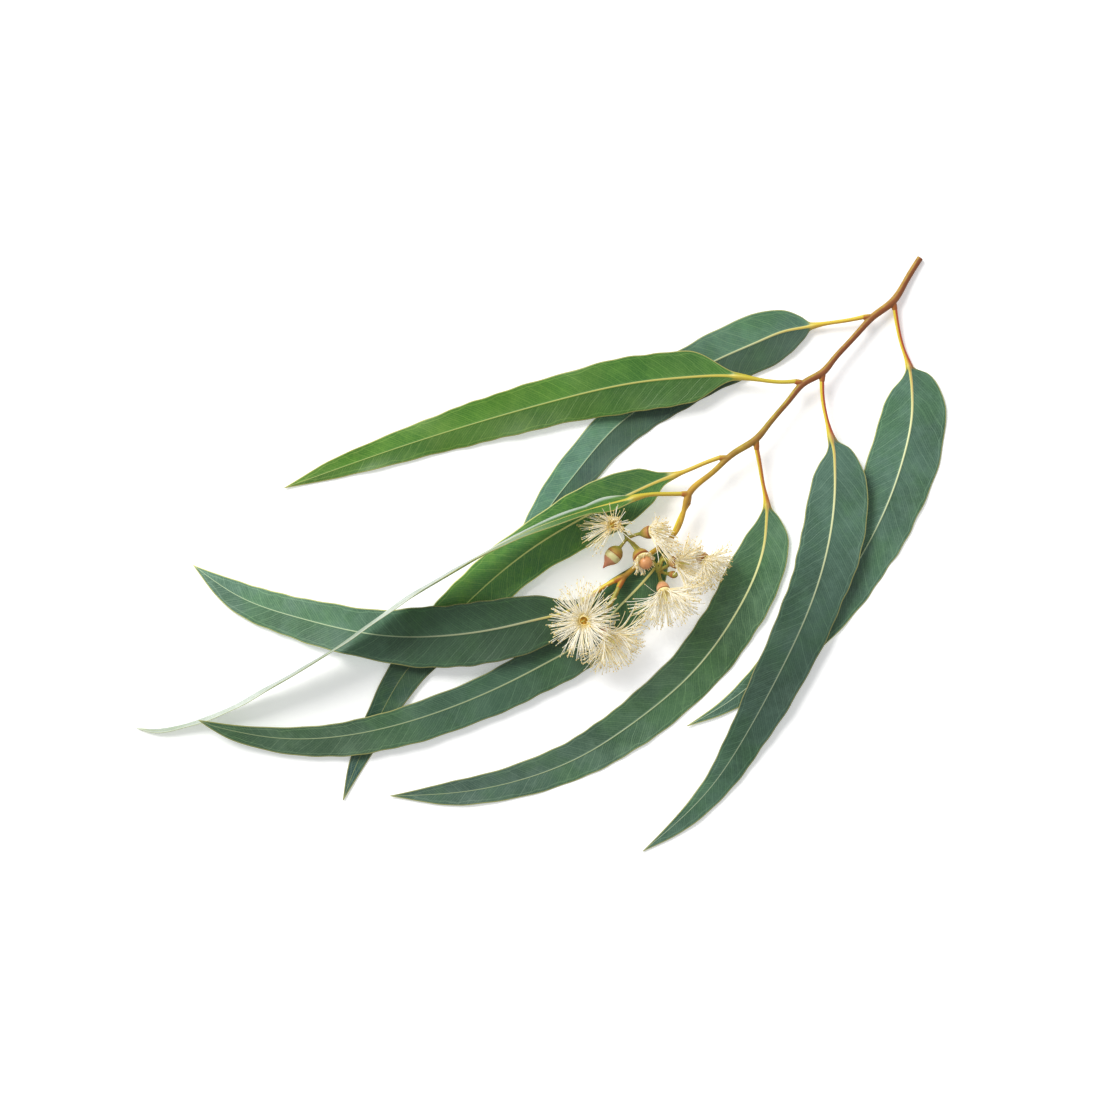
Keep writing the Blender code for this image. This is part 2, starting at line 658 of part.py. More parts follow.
def cup_mesh(name):
    """A cup like a small goblet, solid below a shallow dish."""
    profile = [
        (0.0, 0.0),
        (0.0, 0.7),
        (0.9, 1.25),
        (2.2, 2.0),
        (3.4, 2.3),
        (CUP_LENGTH, CUP_RIM_RADIUS),
        (CUP_LENGTH, CUP_DISH_RADIUS),
        (CUP_LENGTH - CUP_DISH_DEPTH, CUP_DISH_RADIUS - 0.2),
        (CUP_LENGTH - CUP_DISH_DEPTH, 0.0),
    ]
    return lathe_mesh(flower_base(name), FLOWERS[name][2], profile, CUP_SIDES)


def pedicel(start, base, axis, lift=0.0, radius=0.6):
    """A flower stalk that leaves the bunch's middle and meets the cup along its axis."""
    start = np.array(start, float)
    base = np.array(base, float)
    axis = unit(axis)
    before = base - axis * 1.6
    middle = 0.5 * (start + before) + np.array([0.0, 0.0, lift])
    end = base + axis * 0.4
    rows = [(*start, radius + 0.1), (*middle, radius), (*before, radius), (*end, radius + 0.05)]
    return tube_mesh(rows, STALK_SIDES, 6)


def bud_cup(bud, radius):
    base, axis, length = bud
    profile = [(0.0, 0.0), (0.0, 0.7), (0.25 * length, 0.62 * radius), (0.6 * length, 0.9 * radius)]
    profile += [(length, radius), (length, 0.0)]
    return lathe_mesh(base, axis, profile, CUP_SIDES)


def umbel(name, stem, flowers, buds):
    middle = stem[-1][:3]
    pieces = [stem_tubes[name]]
    knob = [(-1.0, 0.0), (-0.7, 0.75), (0.0, 1.05), (0.7, 0.75), (1.0, 0.0)]
    pieces.append(lathe_mesh(middle, (0.2, 0.1, 1.0), knob, STALK_SIDES))
    for flower in flowers:
        pieces.append(pedicel(middle, flower_base(flower), FLOWERS[flower][2]))
        pieces.append(cup_mesh(flower))
    for bud, radius in buds:
        pieces.append(pedicel(middle, bud[0], bud[1], radius=0.55))
        pieces.append(bud_cup(bud, radius))
    fused_object(name, pieces, "flower_cup")
    for piece in pieces:
        taken.append(fill_between(piece[2]))


big_buds = ((POINTED_BUD, BUD_RADIUS), (OPENING_BUD, OPENING_BUD_RADIUS))
umbel("umbel_a", UMBEL_A_STEM, ("stamens_1", "stamens_2"), big_buds)
small_buds = ((SMALL_BUD, SMALL_BUD_RADIUS),)
umbel("umbel_b", UMBEL_B_STEM, ("stamens_3", "stamens_4", "stamens_5"), small_buds)
umbel("umbel_c", UMBEL_C_STEM, ("stamens_6", "stamens_7"), ())


# Caps of the buds, each profile a list of distance along the axis and radius
POINTED_CAP = [
    (0.0, 0.0),
    (0.0, 2.95),
    (1.4, 2.85),
    (2.6, 2.3),
    (3.8, 1.35),
    (4.8, 0.7),
    (5.8, 0.3),
    (6.0, 0.0),
]
BLUNT_CAP = [
    (0.0, 0.0),
    (0.0, 2.1),
    (0.5, CAP_RADIUS),
    (1.4, 2.25),
    (2.3, 1.75),
    (2.9, 1.0),
    (3.2, 0.3),
    (3.3, 0.0),
]


def bud_cap(name, bud, start, profile, lean=(0.0, 0.0, 0.0)):
    base, axis, length = bud
    axis = unit(axis)
    foot = np.array(base) + axis * (length + start) + np.array(lean)
    points, faces, reach = lathe_mesh(foot, axis + 0.15 * np.array(lean), profile, CUP_SIDES)
    new_object(name, points, faces, "bud_cap")
    taken.append(fill_between(reach))


bud_cap("bud_cap_1", POINTED_BUD, JOINT_GAP, POINTED_CAP)
bud_cap("bud_cap_2", OPENING_BUD, CAP_LIFT, BLUNT_CAP, lean=CAP_LEAN)


# Stamen brushes: a core seated in the cup, with a filament drawn out of each facet
def clear_of_others(path, radius):
    """Whether every sample of the path keeps its distance from everything placed so far."""
    gap = np.linalg.norm(path[:, None, :] - everything[None, :, :3], axis=2)
    return bool(np.all(gap - everything[None, :, 3] > radius + STAMEN_CLEARANCE))


def turn_between(a, b):
    """The matrix that turns direction a onto direction b the short way."""
    axis = np.cross(a, b)
    cos = float(np.dot(a, b))
    skew = np.array([[0, -axis[2], axis[1]], [axis[2], 0, -axis[0]], [-axis[1], axis[0], 0]])
    return np.eye(3) + skew + skew @ skew / (1.0 + cos)


def brush(name, seed):
    """Points and faces of one flower's stamens, drawn out of the facets of its core."""
    _, rim, facing, length, opening = FLOWERS[name]
    rng = np.random.default_rng(seed)
    axis, first, second = frame_of(facing)
    rim = np.array(rim, float)
    levels = CORE_PROFILE
    drawn = (3, 4)
    points = []
    rings = []
    for index, (along, radius) in enumerate(levels):
        if radius == 0.0:
            rings.append([len(points)])
            points.append(rim + axis * along)
            continue
        sides = STAMEN_SECTORS
        shift = 0.5 if index in (4,) else 0.0
        rings.append(list(range(len(points), len(points) + sides)))
        for j in range(sides):
            turn = 2.0 * math.pi * (j + shift) / sides
            out = math.cos(turn) * first + math.sin(turn) * second
            points.append(rim + axis * along + radius * out)
    faces = []
    count = STAMEN_SECTORS
    placed = []
    for level, (low, high) in enumerate(zip(rings[:-1], rings[1:])):
        for j in range(count):
            k = (j + 1) % count
            if len(low) == 1:
                faces.append((low[0], high[k], high[j]))
                continue
            if len(high) == 1:
                faces.append((low[j], low[k], high[0]))
                continue
            if level not in drawn:
                faces.append((low[j], low[k], high[k], high[j]))
                continue
            if level == drawn[0]:
                pair = [(low[j], low[k], high[j]), (low[k], high[k], high[j])]
            else:
                pair = [(low[j], high[k], high[j]), (low[j], low[k], high[k])]
            for triangle in pair:
                faces += drawn_out(points, triangle, level - drawn[0], axis, length, opening, rng, placed)
    return points, faces, placed


def drawn_out(points, triangle, row, axis, length, opening, rng, placed):
    """One facet as a thin three-sided filament, or left plain where something is in its way."""
    corners = np.array([points[i] for i in triangle])
    middle = corners.mean(axis=0)
    normal = unit(np.cross(corners[1] - corners[0], corners[2] - corners[0]))
    outward = unit(middle - axis * np.dot(middle, axis) - (points[0] - axis * np.dot(points[0], axis)))
    spread = (70.0, 88.0) if row == 0 else (28.0, 62.0)
    lean = math.radians(rng.uniform(*spread) * opening)
    sweep = math.radians(rng.uniform(-9.0, 9.0))
    sideways = np.cross(axis, outward)
    flat = outward * math.cos(sweep) + sideways * math.sin(sweep)
    target = unit(axis * math.cos(lean) + flat * math.sin(lean))
    reach = length * rng.uniform(0.86, 1.12)
    for _ in range(6):
        bend = middle + normal * 0.25 * reach + target * 0.15 * reach
        tip = middle + target * reach
        t = np.linspace(0.0, 1.0, 12)[:, None]
        path = (1 - t) ** 2 * middle + 2 * t * (1 - t) * bend + t**2 * tip
        if clear_of_others(path[3:], 0.3):
            break
        reach *= 0.84
    else:
        return [triangle]
    placed.append(np.column_stack([path, np.full(len(path), 0.32)]))
    inner = middle + (corners - middle) * 0.66
    size = np.linalg.norm(inner - middle, axis=1).mean()
    start = len(points)
    points.extend(inner)
    made = []
    for i in range(3):
        j = (i + 1) % 3
        made.append((triangle[i], triangle[j], start + j, start + i))
    for at, width in ((0.5, 0.30), (1.0, 0.26)):
        spot = (1 - at) ** 2 * middle + 2 * at * (1 - at) * bend + at**2 * tip
        way = unit(2 * (1 - at) * (bend - middle) + 2 * at * (tip - bend))
        turn = turn_between(normal, way)
        ring = len(points)
        for corner in inner:
            points.append(spot + turn @ (corner - middle) * (width / size))
        for i in range(3):
            j = (i + 1) % 3
            made.append((ring - 3 + i, ring - 3 + j, ring + j, ring + i))
    made.append((len(points) - 3, len(points) - 2, len(points) - 1))
    return made


def core_samples(name):
    """The core and the style of one flower, as things that the others keep clear of."""
    rim, axis = np.array(FLOWERS[name][1]), unit(FLOWERS[name][2])
    spots = [(-0.3, 1.4), (0.6, 2.3), (1.2, 1.6)]
    spots += [(a, 0.3) for a in np.linspace(1.6, 4.7, 8)]
    return np.array([[*(rim + axis * a), r] for a, r in spots])


brush_paths = {}
for seed, flower in enumerate(FLOWERS):
    others = [core_samples(name) for name in FLOWERS if name != flower]
    drawn_before = [path for name in brush_paths for path in brush_paths[name]]
    everything = np.concatenate([*taken, *others, *drawn_before])
    # A flower's own cup and stalk lie behind its stamens, so they are left out here.
    from_rim = everything[:, :3] - np.array(FLOWERS[flower][1])
    facing = unit(FLOWERS[flower][2])
    along = from_rim @ facing
    aside = np.linalg.norm(from_rim - along[:, None] * facing, axis=1)
    own = (aside < 0.3) & (along < 0.2) & (along > -CUP_LENGTH - 0.5)
    everything = everything[~own]
    brush_points, brush_faces, brush_paths[flower] = brush(flower, seed + 11)
    new_object(flower, brush_points, brush_faces, "stamens")


# Stamens that push out from under the lifting cap
base, axis, length = OPENING_BUD
axis = unit(axis)
collar = [(0.0, 0.0), (0.0, 2.7), (0.35, 2.95), (0.9, 2.85), (0.9, 0.0)]
collar_base = np.array(base) + axis * (length + JOINT_GAP)
collar_points, collar_faces, _ = lathe_mesh(collar_base, axis, collar, CUP_SIDES)
new_object("stamens_8", collar_points, collar_faces, "stamens")
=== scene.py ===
import math
from functools import partial

import bpy
import numpy as np
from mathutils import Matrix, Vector
from mathutils.bvhtree import BVHTree


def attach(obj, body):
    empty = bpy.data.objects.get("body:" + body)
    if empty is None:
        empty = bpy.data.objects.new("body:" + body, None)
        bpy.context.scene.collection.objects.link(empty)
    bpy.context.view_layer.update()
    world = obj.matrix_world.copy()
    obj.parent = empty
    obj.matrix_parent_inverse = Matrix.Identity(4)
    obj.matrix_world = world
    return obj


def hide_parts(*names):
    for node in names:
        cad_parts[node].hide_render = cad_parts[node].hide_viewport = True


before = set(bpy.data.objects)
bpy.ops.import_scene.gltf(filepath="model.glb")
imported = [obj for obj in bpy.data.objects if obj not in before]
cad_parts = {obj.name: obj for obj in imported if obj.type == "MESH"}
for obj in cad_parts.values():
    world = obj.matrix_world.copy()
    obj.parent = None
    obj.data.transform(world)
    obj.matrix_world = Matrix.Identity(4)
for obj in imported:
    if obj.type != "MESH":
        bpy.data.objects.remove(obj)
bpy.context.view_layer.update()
print("stage 1: frame loaded")

mm = 0.001
centreShift = np.array([0.15, 0.06, 0.0])  # puts the middle of the sprig's box over the origin, mm


# Curves and small shape functions

def shares(points):
    # Distance walked along the points, divided by the whole distance.
    steps = np.linalg.norm(np.diff(points, axis=0), axis=1)
    walked = np.concatenate([[0.0], np.cumsum(steps)])
    return walked / walked[-1]


def bendCurve(knots, values, at):
    # Natural cubic spline: second derivatives from one linear system, then a cubic in each gap.
    count = len(knots)
    gaps = np.diff(knots)
    system = np.eye(count)
    inner = np.arange(1, count - 1)
    system[inner, inner - 1] = gaps[:-1]
    system[inner, inner] = 2.0 * (gaps[:-1] + gaps[1:])
    system[inner, inner + 1] = gaps[1:]
    rise = np.diff(values, axis=0) / gaps[:, None]
    right = np.zeros_like(values)
    right[1:-1] = 6.0 * (rise[1:] - rise[:-1])
    bend = np.linalg.solve(system, right)
    cell = np.clip(np.searchsorted(knots, at, side="right") - 1, 0, count - 2)
    width = gaps[cell][:, None]
    a = (knots[cell + 1] - at)[:, None] / width
    b = 1.0 - a
    line = a * values[cell] + b * values[cell + 1]
    return line + ((a**3 - a) * bend[cell] + (b**3 - b) * bend[cell + 1]) * width**2 / 6.0


def steadyCurve(knots, values, at):
    # Cubic with slopes set to the weighted harmonic mean of its neighbours, so it never overshoots.
    gaps = np.diff(knots)
    rise = np.diff(values) / gaps
    sameWay = rise[:-1] * rise[1:] > 0
    first = 2.0 * gaps[1:] + gaps[:-1]
    second = gaps[1:] + 2.0 * gaps[:-1]
    before = np.where(sameWay, rise[:-1], 1.0)
    after = np.where(sameWay, rise[1:], 1.0)
    slope = np.zeros(len(values))
    slope[1:-1] = np.where(sameWay, (first + second) / (first / before + second / after), 0.0)
    slope[0], slope[-1] = rise[0], rise[-1]
    cell = np.clip(np.searchsorted(knots, at, side="right") - 1, 0, len(values) - 2)
    h = gaps[cell]
    u = (at - knots[cell]) / h
    return (
        (2 * u**3 - 3 * u**2 + 1) * values[cell]
        + (u**3 - 2 * u**2 + u) * h * slope[cell]
        + (3 * u**2 - 2 * u**3) * values[cell + 1]
        + (u**3 - u**2) * h * slope[cell + 1]
    )


def unit(vectors):
    # Each vector divided by its own length.
    vectors = np.asarray(vectors, float)
    return vectors / np.maximum(np.linalg.norm(vectors, axis=-1, keepdims=True), 1e-12)


def smoothStep(low, high, value):
    # Zero below low, one above high, and 3u² - 2u³ between.
    u = np.clip((value - low) / (high - low), 0.0, 1.0)
    return u * u * (3.0 - 2.0 * u)


def turned(vectors, axis, angle):
    # Turn about an axis: v cos + (axis × v) sin + axis (axis · v)(1 - cos).
    cos, sin = np.cos(angle)[:, None], np.sin(angle)[:, None]
    along = np.sum(vectors * axis, axis=1, keepdims=True)
    return vectors * cos + np.cross(axis, vectors) * sin + axis * along * (1.0 - cos)


def gridQuads(rows, columns):
    # Quad (i, j), (i, j+1), (i+1, j+1), (i+1, j) for each cell of a grid that closes round its columns.
    i = np.arange(rows - 1)[:, None]
    j = np.arange(columns)[None, :]
    k = (j + 1) % columns
    low, high = i * columns, (i + 1) * columns
    return np.stack([low + j, low + k, high + k, high + j], axis=-1).reshape(-1, 4)


def endFans(rings, sides):
    # Triangles from the two points after the rings to the first ring and to the last.
    j = np.arange(sides)
    k = (j + 1) % sides
    foot, last = rings * sides, (rings - 1) * sides
    return np.concatenate([
        np.stack([np.full(sides, foot), k, j], axis=1),
        np.stack([np.full(sides, foot + 1), last + j, last + k], axis=1),
    ])


def shape(points, quads, tris=None, **marks):
    # One part of a piece: points in mm, faces, and one number a point for each mark.
    points = np.asarray(points, float).reshape(-1, 3)
    tris = np.zeros((0, 3), int) if tris is None else np.asarray(tris, int).reshape(-1, 3)
    filled = {key: np.broadcast_to(np.asarray(value, float), len(points)) for key, value in marks.items()}
    return {"points": points, "quads": np.asarray(quads, int).reshape(-1, 4), "tris": tris, "marks": filled}


def joined(parts):
    # Parts laid end to end, each one's face numbers raised by the points before it.
    starts = np.cumsum([0] + [len(part["points"]) for part in parts])
    keys = sorted({key for part in parts for key in part["marks"]})
    marks = {
        key: np.concatenate([part["marks"].get(key, np.zeros(len(part["points"]))) for part in parts])
        for key in keys
    }
    return {
        "points": np.concatenate([part["points"] for part in parts]),
        "quads": np.concatenate([part["quads"] + start for part, start in zip(parts, starts)]),
        "tris": np.concatenate([part["tris"] + start for part, start in zip(parts, starts)]),
        "marks": marks,
    }


def meshOf(name, whole):
    # The arrays as a Blender mesh in metres.
    mesh = bpy.data.meshes.new(name)
    spots = (whole["points"] + centreShift) * mm
    mesh.from_pydata(spots.tolist(), [], whole["quads"].tolist() + whole["tris"].tolist())
    for key, values in whole["marks"].items():
        layer = mesh.attributes.new(key, "FLOAT", "POINT")
        layer.data.foreach_set("value", values.astype(np.float32))
    mesh.shade_smooth()
    return mesh


def addPiece(name, mesh, material, node):
    # A finished piece that stands for one CAD node and moves with it.
    piece = bpy.data.objects.new(name, mesh)
    bpy.context.scene.collection.objects.link(piece)
    mesh.materials.clear()
    mesh.materials.append(material)
    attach(piece, "root")
    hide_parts(node)
    return piece


# Stems: a circle carried along a path

def stem(rows, sides, steps, **marks):
    # Centre and radius are curves through the rows; each ring is centre + r (cos a · n + sin a · b).
    rows = np.array(rows, float)
    knots = shares(rows[:, :3])
    t = np.linspace(0.0, 1.0, steps)
    if len(rows) > 2:
        centre = bendCurve(knots, rows[:, :3], t)
        radius = steadyCurve(knots, rows[:, 3], t)
    else:
        centre = rows[0, :3] + (rows[1, :3] - rows[0, :3]) * t[:, None]
        radius = rows[0, 3] + (rows[1, 3] - rows[0, 3]) * t
    tangent = unit(np.gradient(centre, axis=0))
    choices = np.eye(3)
    helper = choices[np.argmin(np.abs(tangent @ choices.T).max(axis=0))]
    first = unit(np.cross(tangent, helper))
    second = np.cross(tangent, first)
    turn = np.linspace(0.0, 2.0 * math.pi, sides, endpoint=False)
    ring = np.cos(turn)[None, :, None] * first[:, None] + np.sin(turn)[None, :, None] * second[:, None]
    points = centre[:, None] + radius[:, None, None] * ring
    points = np.concatenate([points.reshape(-1, 3), centre[[0, -1]]])
    return shape(points, gridQuads(steps, sides), endFans(steps, sides), **marks)


def frameOf(axis):
    # The axis and two directions square to it.
    axis = unit(axis)
    helper = (0.0, 0.0, 1.0) if abs(axis[2]) < 0.8 else (0.0, 1.0, 0.0)
    first = unit(np.cross(axis, helper))
    return axis, first, np.cross(axis, first)


def turnedShape(base, axis, profile, sides, steps=0, **marks):
    # Points base + axis · z + r (cos a · n + sin a · b), the profile giving z and r, closed on the axis.
    axis, first, second = frameOf(axis)
    profile = np.array(profile, float)
    if steps:
        knots = shares(profile)
        t = np.linspace(0.0, 1.0, steps)
        profile = np.stack([steadyCurve(knots, profile[:, 0], t), steadyCurve(knots, profile[:, 1], t)], axis=1)
    body = profile[1:-1]
    turn = np.linspace(0.0, 2.0 * math.pi, sides, endpoint=False)
    radius = np.repeat(body[:, 1:2], sides, axis=1)
    ring = np.cos(turn)[:, None] * first + np.sin(turn)[:, None] * second
    points = np.asarray(base, float) + body[:, 0][:, None, None] * axis + radius[:, :, None] * ring[None]
    ends = np.asarray(base, float) + profile[[0, -1], :1] * axis
    points = np.concatenate([points.reshape(-1, 3), ends])
    rings = len(body)
    height = np.concatenate([np.repeat(body[:, 0], sides), profile[[0, -1], 0]])
    return shape(points, gridQuads(rings, sides), endFans(rings, sides), height=height, **marks)


# Materials

def linearColour(code):
    # sRGB to linear: c / 12.92 below 0.04045, else ((c + 0.055) / 1.055) to the power 2.4.
    parts = [int(code[i:i + 2], 16) / 255.0 for i in (1, 3, 5)]
    return tuple(c / 12.92 if c <= 0.04045 else ((c + 0.055) / 1.055) ** 2.4 for c in parts) + (1.0,)


def perMetre(size):
    # How many of a pattern of this size in mm fit in a metre.
    return 1000.0 / size


def fill(tree, socket, value):
    # Joins an output to this input, or sets a plain number or colour on it.
    if isinstance(value, bpy.types.NodeSocket):
        tree.links.new(value, socket)
    elif value is not None:
        socket.default_value = value


nodeHabits = {"Mix": {"data_type": "RGBA"}, "MapRange": {"interpolation_type": "SMOOTHSTEP"}}


def addNode(tree, kind, *values, output=None, **settings):
    # Adds one node with its settings, fills the inputs in use from the left (None leaves one alone)
    # and gives the named output, or else the first in use.
    node = tree.nodes.new("ShaderNode" + kind)
    for key, value in {**nodeHabits.get(kind, {}), **settings}.items():
        setattr(node, key, value)
    for socket, value in zip([socket for socket in node.inputs if socket.enabled], values):
        fill(tree, socket, value)
    return node.outputs[output] if output else next(socket for socket in node.outputs if socket.enabled)


def newMaterial(name):
    # An empty material and its tree.
    material = bpy.data.materials.new(name)
    material.use_nodes = True
    return material, material.node_tree


def fillShader(tree, inputs):
    # Joins or sets the shader's inputs by name.
    for name, value in inputs.items():
        fill(tree, tree.nodes["Principled BSDF"].inputs[name], value)


leafShades = {
    "teal": {  # adult leaf with a thin wax bloom: cool green, soft sheen
        "face": "#415f50", "deep": "#304c3b", "bloom": "#547364", "vein": "#76957d", "rib": "#cfd3a0",
        "margin": "#a0a060", "under": "#7f9d88", "stalk": "#dcc83a", "blush": "#b5472c", "roughness": 0.46,
    },
    "moss": {  # the same adult leaf with less wax, so greener and deeper
        "face": "#405e46", "deep": "#2f4c34", "bloom": "#547257", "vein": "#76936e", "rib": "#c9cc90",
        "margin": "#9c9c5c", "under": "#7f9d84", "stalk": "#dcc83a", "blush": "#b5472c", "roughness": 0.46,
    },
    "greyBlue": {  # thick wax bloom: blue-grey and matt
        "face": "#4a6c5a", "deep": "#3c5a54", "bloom": "#5f8572", "vein": "#82a083", "rib": "#c8cd98",
        "margin": "#a0a268", "under": "#8fae9c", "stalk": "#d8bf38", "blush": "#b06a2c", "roughness": 0.55,
    },
    "bright": {  # young leaf with little wax: yellow-green
        "face": "#41681f", "deep": "#345c21", "bloom": "#577b25", "vein": "#84a04e", "rib": "#b9b25c",
        "margin": "#a09c58", "under": "#a9c08c", "stalk": "#cbb93a", "blush": "#a8742e", "roughness": 0.43,
    },
    "green": {  # mid-green leaf, some yellow flecks
        "face": "#37622d", "deep": "#224b2b", "bloom": "#557f2e", "vein": "#7a9850", "rib": "#c0bc74",
        "margin": "#a6a45f", "under": "#86a67a", "stalk": "#d0b53a", "blush": "#a56a2c", "roughness": 0.45,
    },
}


leafPatterns = {  # sizes in mm
    "patches": 26.32, "greener": 20.83, "veinSway": 14.29, "bloom": 6.667, "rimSway": 4.545, "flecks": 2.381,
    "specks": 0.6667,
    "net": 1.111, "grain": 0.4348,  # both finer on a leaf, drawn this coarse so that they show
}
leafCoats = {  # share of each coat where it is thickest
    "bloom": 0.55, "flecks": 0.12, "net": 0.1, "fineVeins": 0.26, "mainVeins": 0.5, "rimVein": 0.4,
    "greener": 0.7, "paleVeins": 0.4, "grain": 0.16, "under": 0.75, "margin": 0.85, "paleMargin": 0.8,
    "freckles": 0.25, "ribFoot": 0.8,
}
veinKinds = {  # mm apart, how far they lean forwards, how far they wander in mm, half width in mm
    "main": (3.6, 1.05, 5.0, 0.15),
    "fine": (1.1, 1.25, 2.2, 0.2),
}


def waxedLeaf(name, look):
    # Leaf skin: side veins are lines of constant along - |across| · slope, bent by noise.
    material, tree = newMaterial(name)
    add = partial(addNode, tree)
    tone = {key: linearColour(code) for key, code in look.items() if key != "roughness"}
    scale = {key: perMetre(size) for key, size in leafPatterns.items()}
    coat = leafCoats
    where = add("TexCoord", output="Object")
    marks = ("across", "along", "margin", "light", "red", "blue", "pale", "rib", "share", "stalk", "blush", "upper")
    across, along, margin, light, red, blue, pale, rib, share, stalk, blush, upper = [
        add("Attribute", output="Fac", attribute_name=key) for key in marks
    ]

    aside = add("Math", across, operation="ABSOLUTE")
    stagger = add("Math", add("Math", across, operation="SIGN"), 0.31, operation="MULTIPLY")
    sway = add("Math", add("TexNoise", where, scale["veinSway"], 2.0), 0.5, operation="SUBTRACT")
    veins = {}
    for kind, (spacing, slope, swing, half) in veinKinds.items():
        swept = add("Math", sway, swing, along, operation="MULTIPLY_ADD")
        swept = add("Math", aside, -slope, swept, operation="MULTIPLY_ADD")
        cells = add("Math", add("Math", swept, spacing, operation="DIVIDE"), stagger, operation="ADD")
        middle = add("Math", add("Math", cells, operation="FRACT"), 0.5, operation="SUBTRACT")
        away = add("Math", add("Math", middle, operation="ABSOLUTE"), spacing, operation="MULTIPLY")
        line = add("MapRange", away, half * 0.35, half, 1.0, 0.0)
        chance = add("TexWhiteNoise", add("Math", cells, operation="FLOOR"), noise_dimensions="1D")
        veins[kind] = add("Math", line, add("MapRange", chance, 0.0, 1.0, 0.35, 1.0), operation="MULTIPLY")

    patches = add("MapRange", add("TexNoise", where, scale["patches"], 3.0), 0.32, 0.68)
    greener = add("TexNoise", where, scale["greener"], 4.0, 0.6)
    cloudy = add("MapRange", add("TexNoise", where, scale["bloom"], 4.0, 0.6), 0.35, 0.75)
    flecks = add("TexNoise", where, scale["flecks"], 2.0, 0.7)
    specks = add("TexNoise", where, scale["specks"], 2.0)
    grain = add("TexNoise", where, scale["grain"], 2.0, 0.7)
    net = add("TexVoronoi", where, scale["net"], feature="DISTANCE_TO_EDGE")
    rimPlace = add("MapRange", add("TexNoise", where, scale["rimSway"], 1.0), 0.3, 0.7, 0.9, 1.5)
    rimGap = add("Math", add("Math", margin, rimPlace, operation="SUBTRACT"), operation="ABSOLUTE")
    midrib = add("MapRange", rib, 0.5, 1.0, 1.0, 0.0)
    # pale wax bloom plus a painted sheen where the blade is seen edge-on, on leaf_7 only
    waxAndSheenShare = add("Math", pale, add("MapRange", cloudy, 0.0, 1.0, 0.95, 0.76), operation="MULTIPLY")
    waxAndSheen = add("Mix", patches, linearColour("#a6b1a8"), linearColour("#c2cac3"))
    paleVeins = add("Math", pale, veins["main"], operation="MULTIPLY")
    ribShare = add("Math", midrib, add("MapRange", share, 0.1, 0.9, 1.0, 0.75), operation="MULTIPLY")
    ribTone = add("Mix", add("MapRange", share, 0.1, 0.5, 0.0, 0.6), tone["rib"], tone["vein"])
    # the margin turns pale with the same painted sheen
    paleEdge = add("Math", pale, coat["paleMargin"], operation="MULTIPLY")
    edgeTone = add("Mix", paleEdge, tone["margin"], linearColour("#c4cfbb"))
    coats = [  # share, colour and way of each coat, from the lowest up
        (add("Math", cloudy, coat["bloom"], operation="MULTIPLY"), tone["bloom"], "MIX"),
        (add("MapRange", flecks, 0.62, 0.8, 0.0, coat["flecks"]), tone["vein"], "MIX"),
        (add("MapRange", net, 0.02, 0.12, coat["net"], 0.0), tone["vein"], "MIX"),
        (add("Math", veins["fine"], coat["fineVeins"], operation="MULTIPLY"), tone["vein"], "MIX"),
        (add("Math", veins["main"], coat["mainVeins"], operation="MULTIPLY"), tone["vein"], "MIX"),
        (add("MapRange", rimGap, 0.05, 0.2, coat["rimVein"], 0.0), tone["vein"], "MIX"),
        (add("MapRange", greener, 0.42, 0.64, 0.0, coat["greener"]), (0.84, 1.03, 0.68, 1.0), "MULTIPLY"),
        (1.0, add("CombineColor", red, 1.0, blue), "MULTIPLY"),
        (waxAndSheenShare, waxAndSheen, "MIX"),
        (add("Math", paleVeins, coat["paleVeins"], operation="MULTIPLY"), tone["vein"], "MIX"),
        (add("MapRange", grain, 0.3, 0.7, 0.0, coat["grain"]), tone["deep"], "MIX"),
        (add("Math", upper, -coat["under"], coat["under"], operation="MULTIPLY_ADD"), tone["under"], "MIX"),
        (ribShare, ribTone, "MIX"),
        (add("MapRange", margin, 0.2, 0.45, coat["margin"], 0.0), edgeTone, "MIX"),
        # painted light and shade: brightness along the blade and on each half, from the light mark
        (1.0, light, "MULTIPLY"),
    ]
    skin = add("Mix", patches, tone["face"], tone["deep"])
    for amount, colour, way in coats:
        skin = add("Mix", amount, skin, colour, blend_type=way)
    freckled = add("MapRange", specks, 0.55, 0.75, 0.0, coat["freckles"])
    reddened = add("Math", blush, freckled, operation="ADD", use_clamp=True)
    stalkSkin = add("Mix", reddened, tone["stalk"], tone["blush"])
    ribFoot = add("Math", midrib, add("MapRange", share, 0.0, 0.16, coat["ribFoot"], 0.0), operation="MULTIPLY")

    relief = add("Math", veins["main"], -0.5, operation="MULTIPLY")
    relief = add("Math", veins["fine"], -0.25, relief, operation="MULTIPLY_ADD")
    relief = add("Math", grain, 0.35, relief, operation="MULTIPLY_ADD")
    fillShader(tree, {
        "Base Color": add("Mix", add("Math", stalk, ribFoot, operation="MAXIMUM"), skin, stalkSkin),
        "Roughness": add("MapRange", cloudy, 0.0, 1.0, look["roughness"] - 0.05, look["roughness"] + 0.08),
        "Normal": add("Bump", 0.35, 0.00012, None, relief),
        "Specular IOR Level": 0.45,
    })
    return material


print("stage 2: leaf finishes")
leafFinish = {}
for name, look in leafShades.items():
    leafFinish[name] = waxedLeaf("waxed" + name[0].upper() + name[1:] + "Leaf", look)
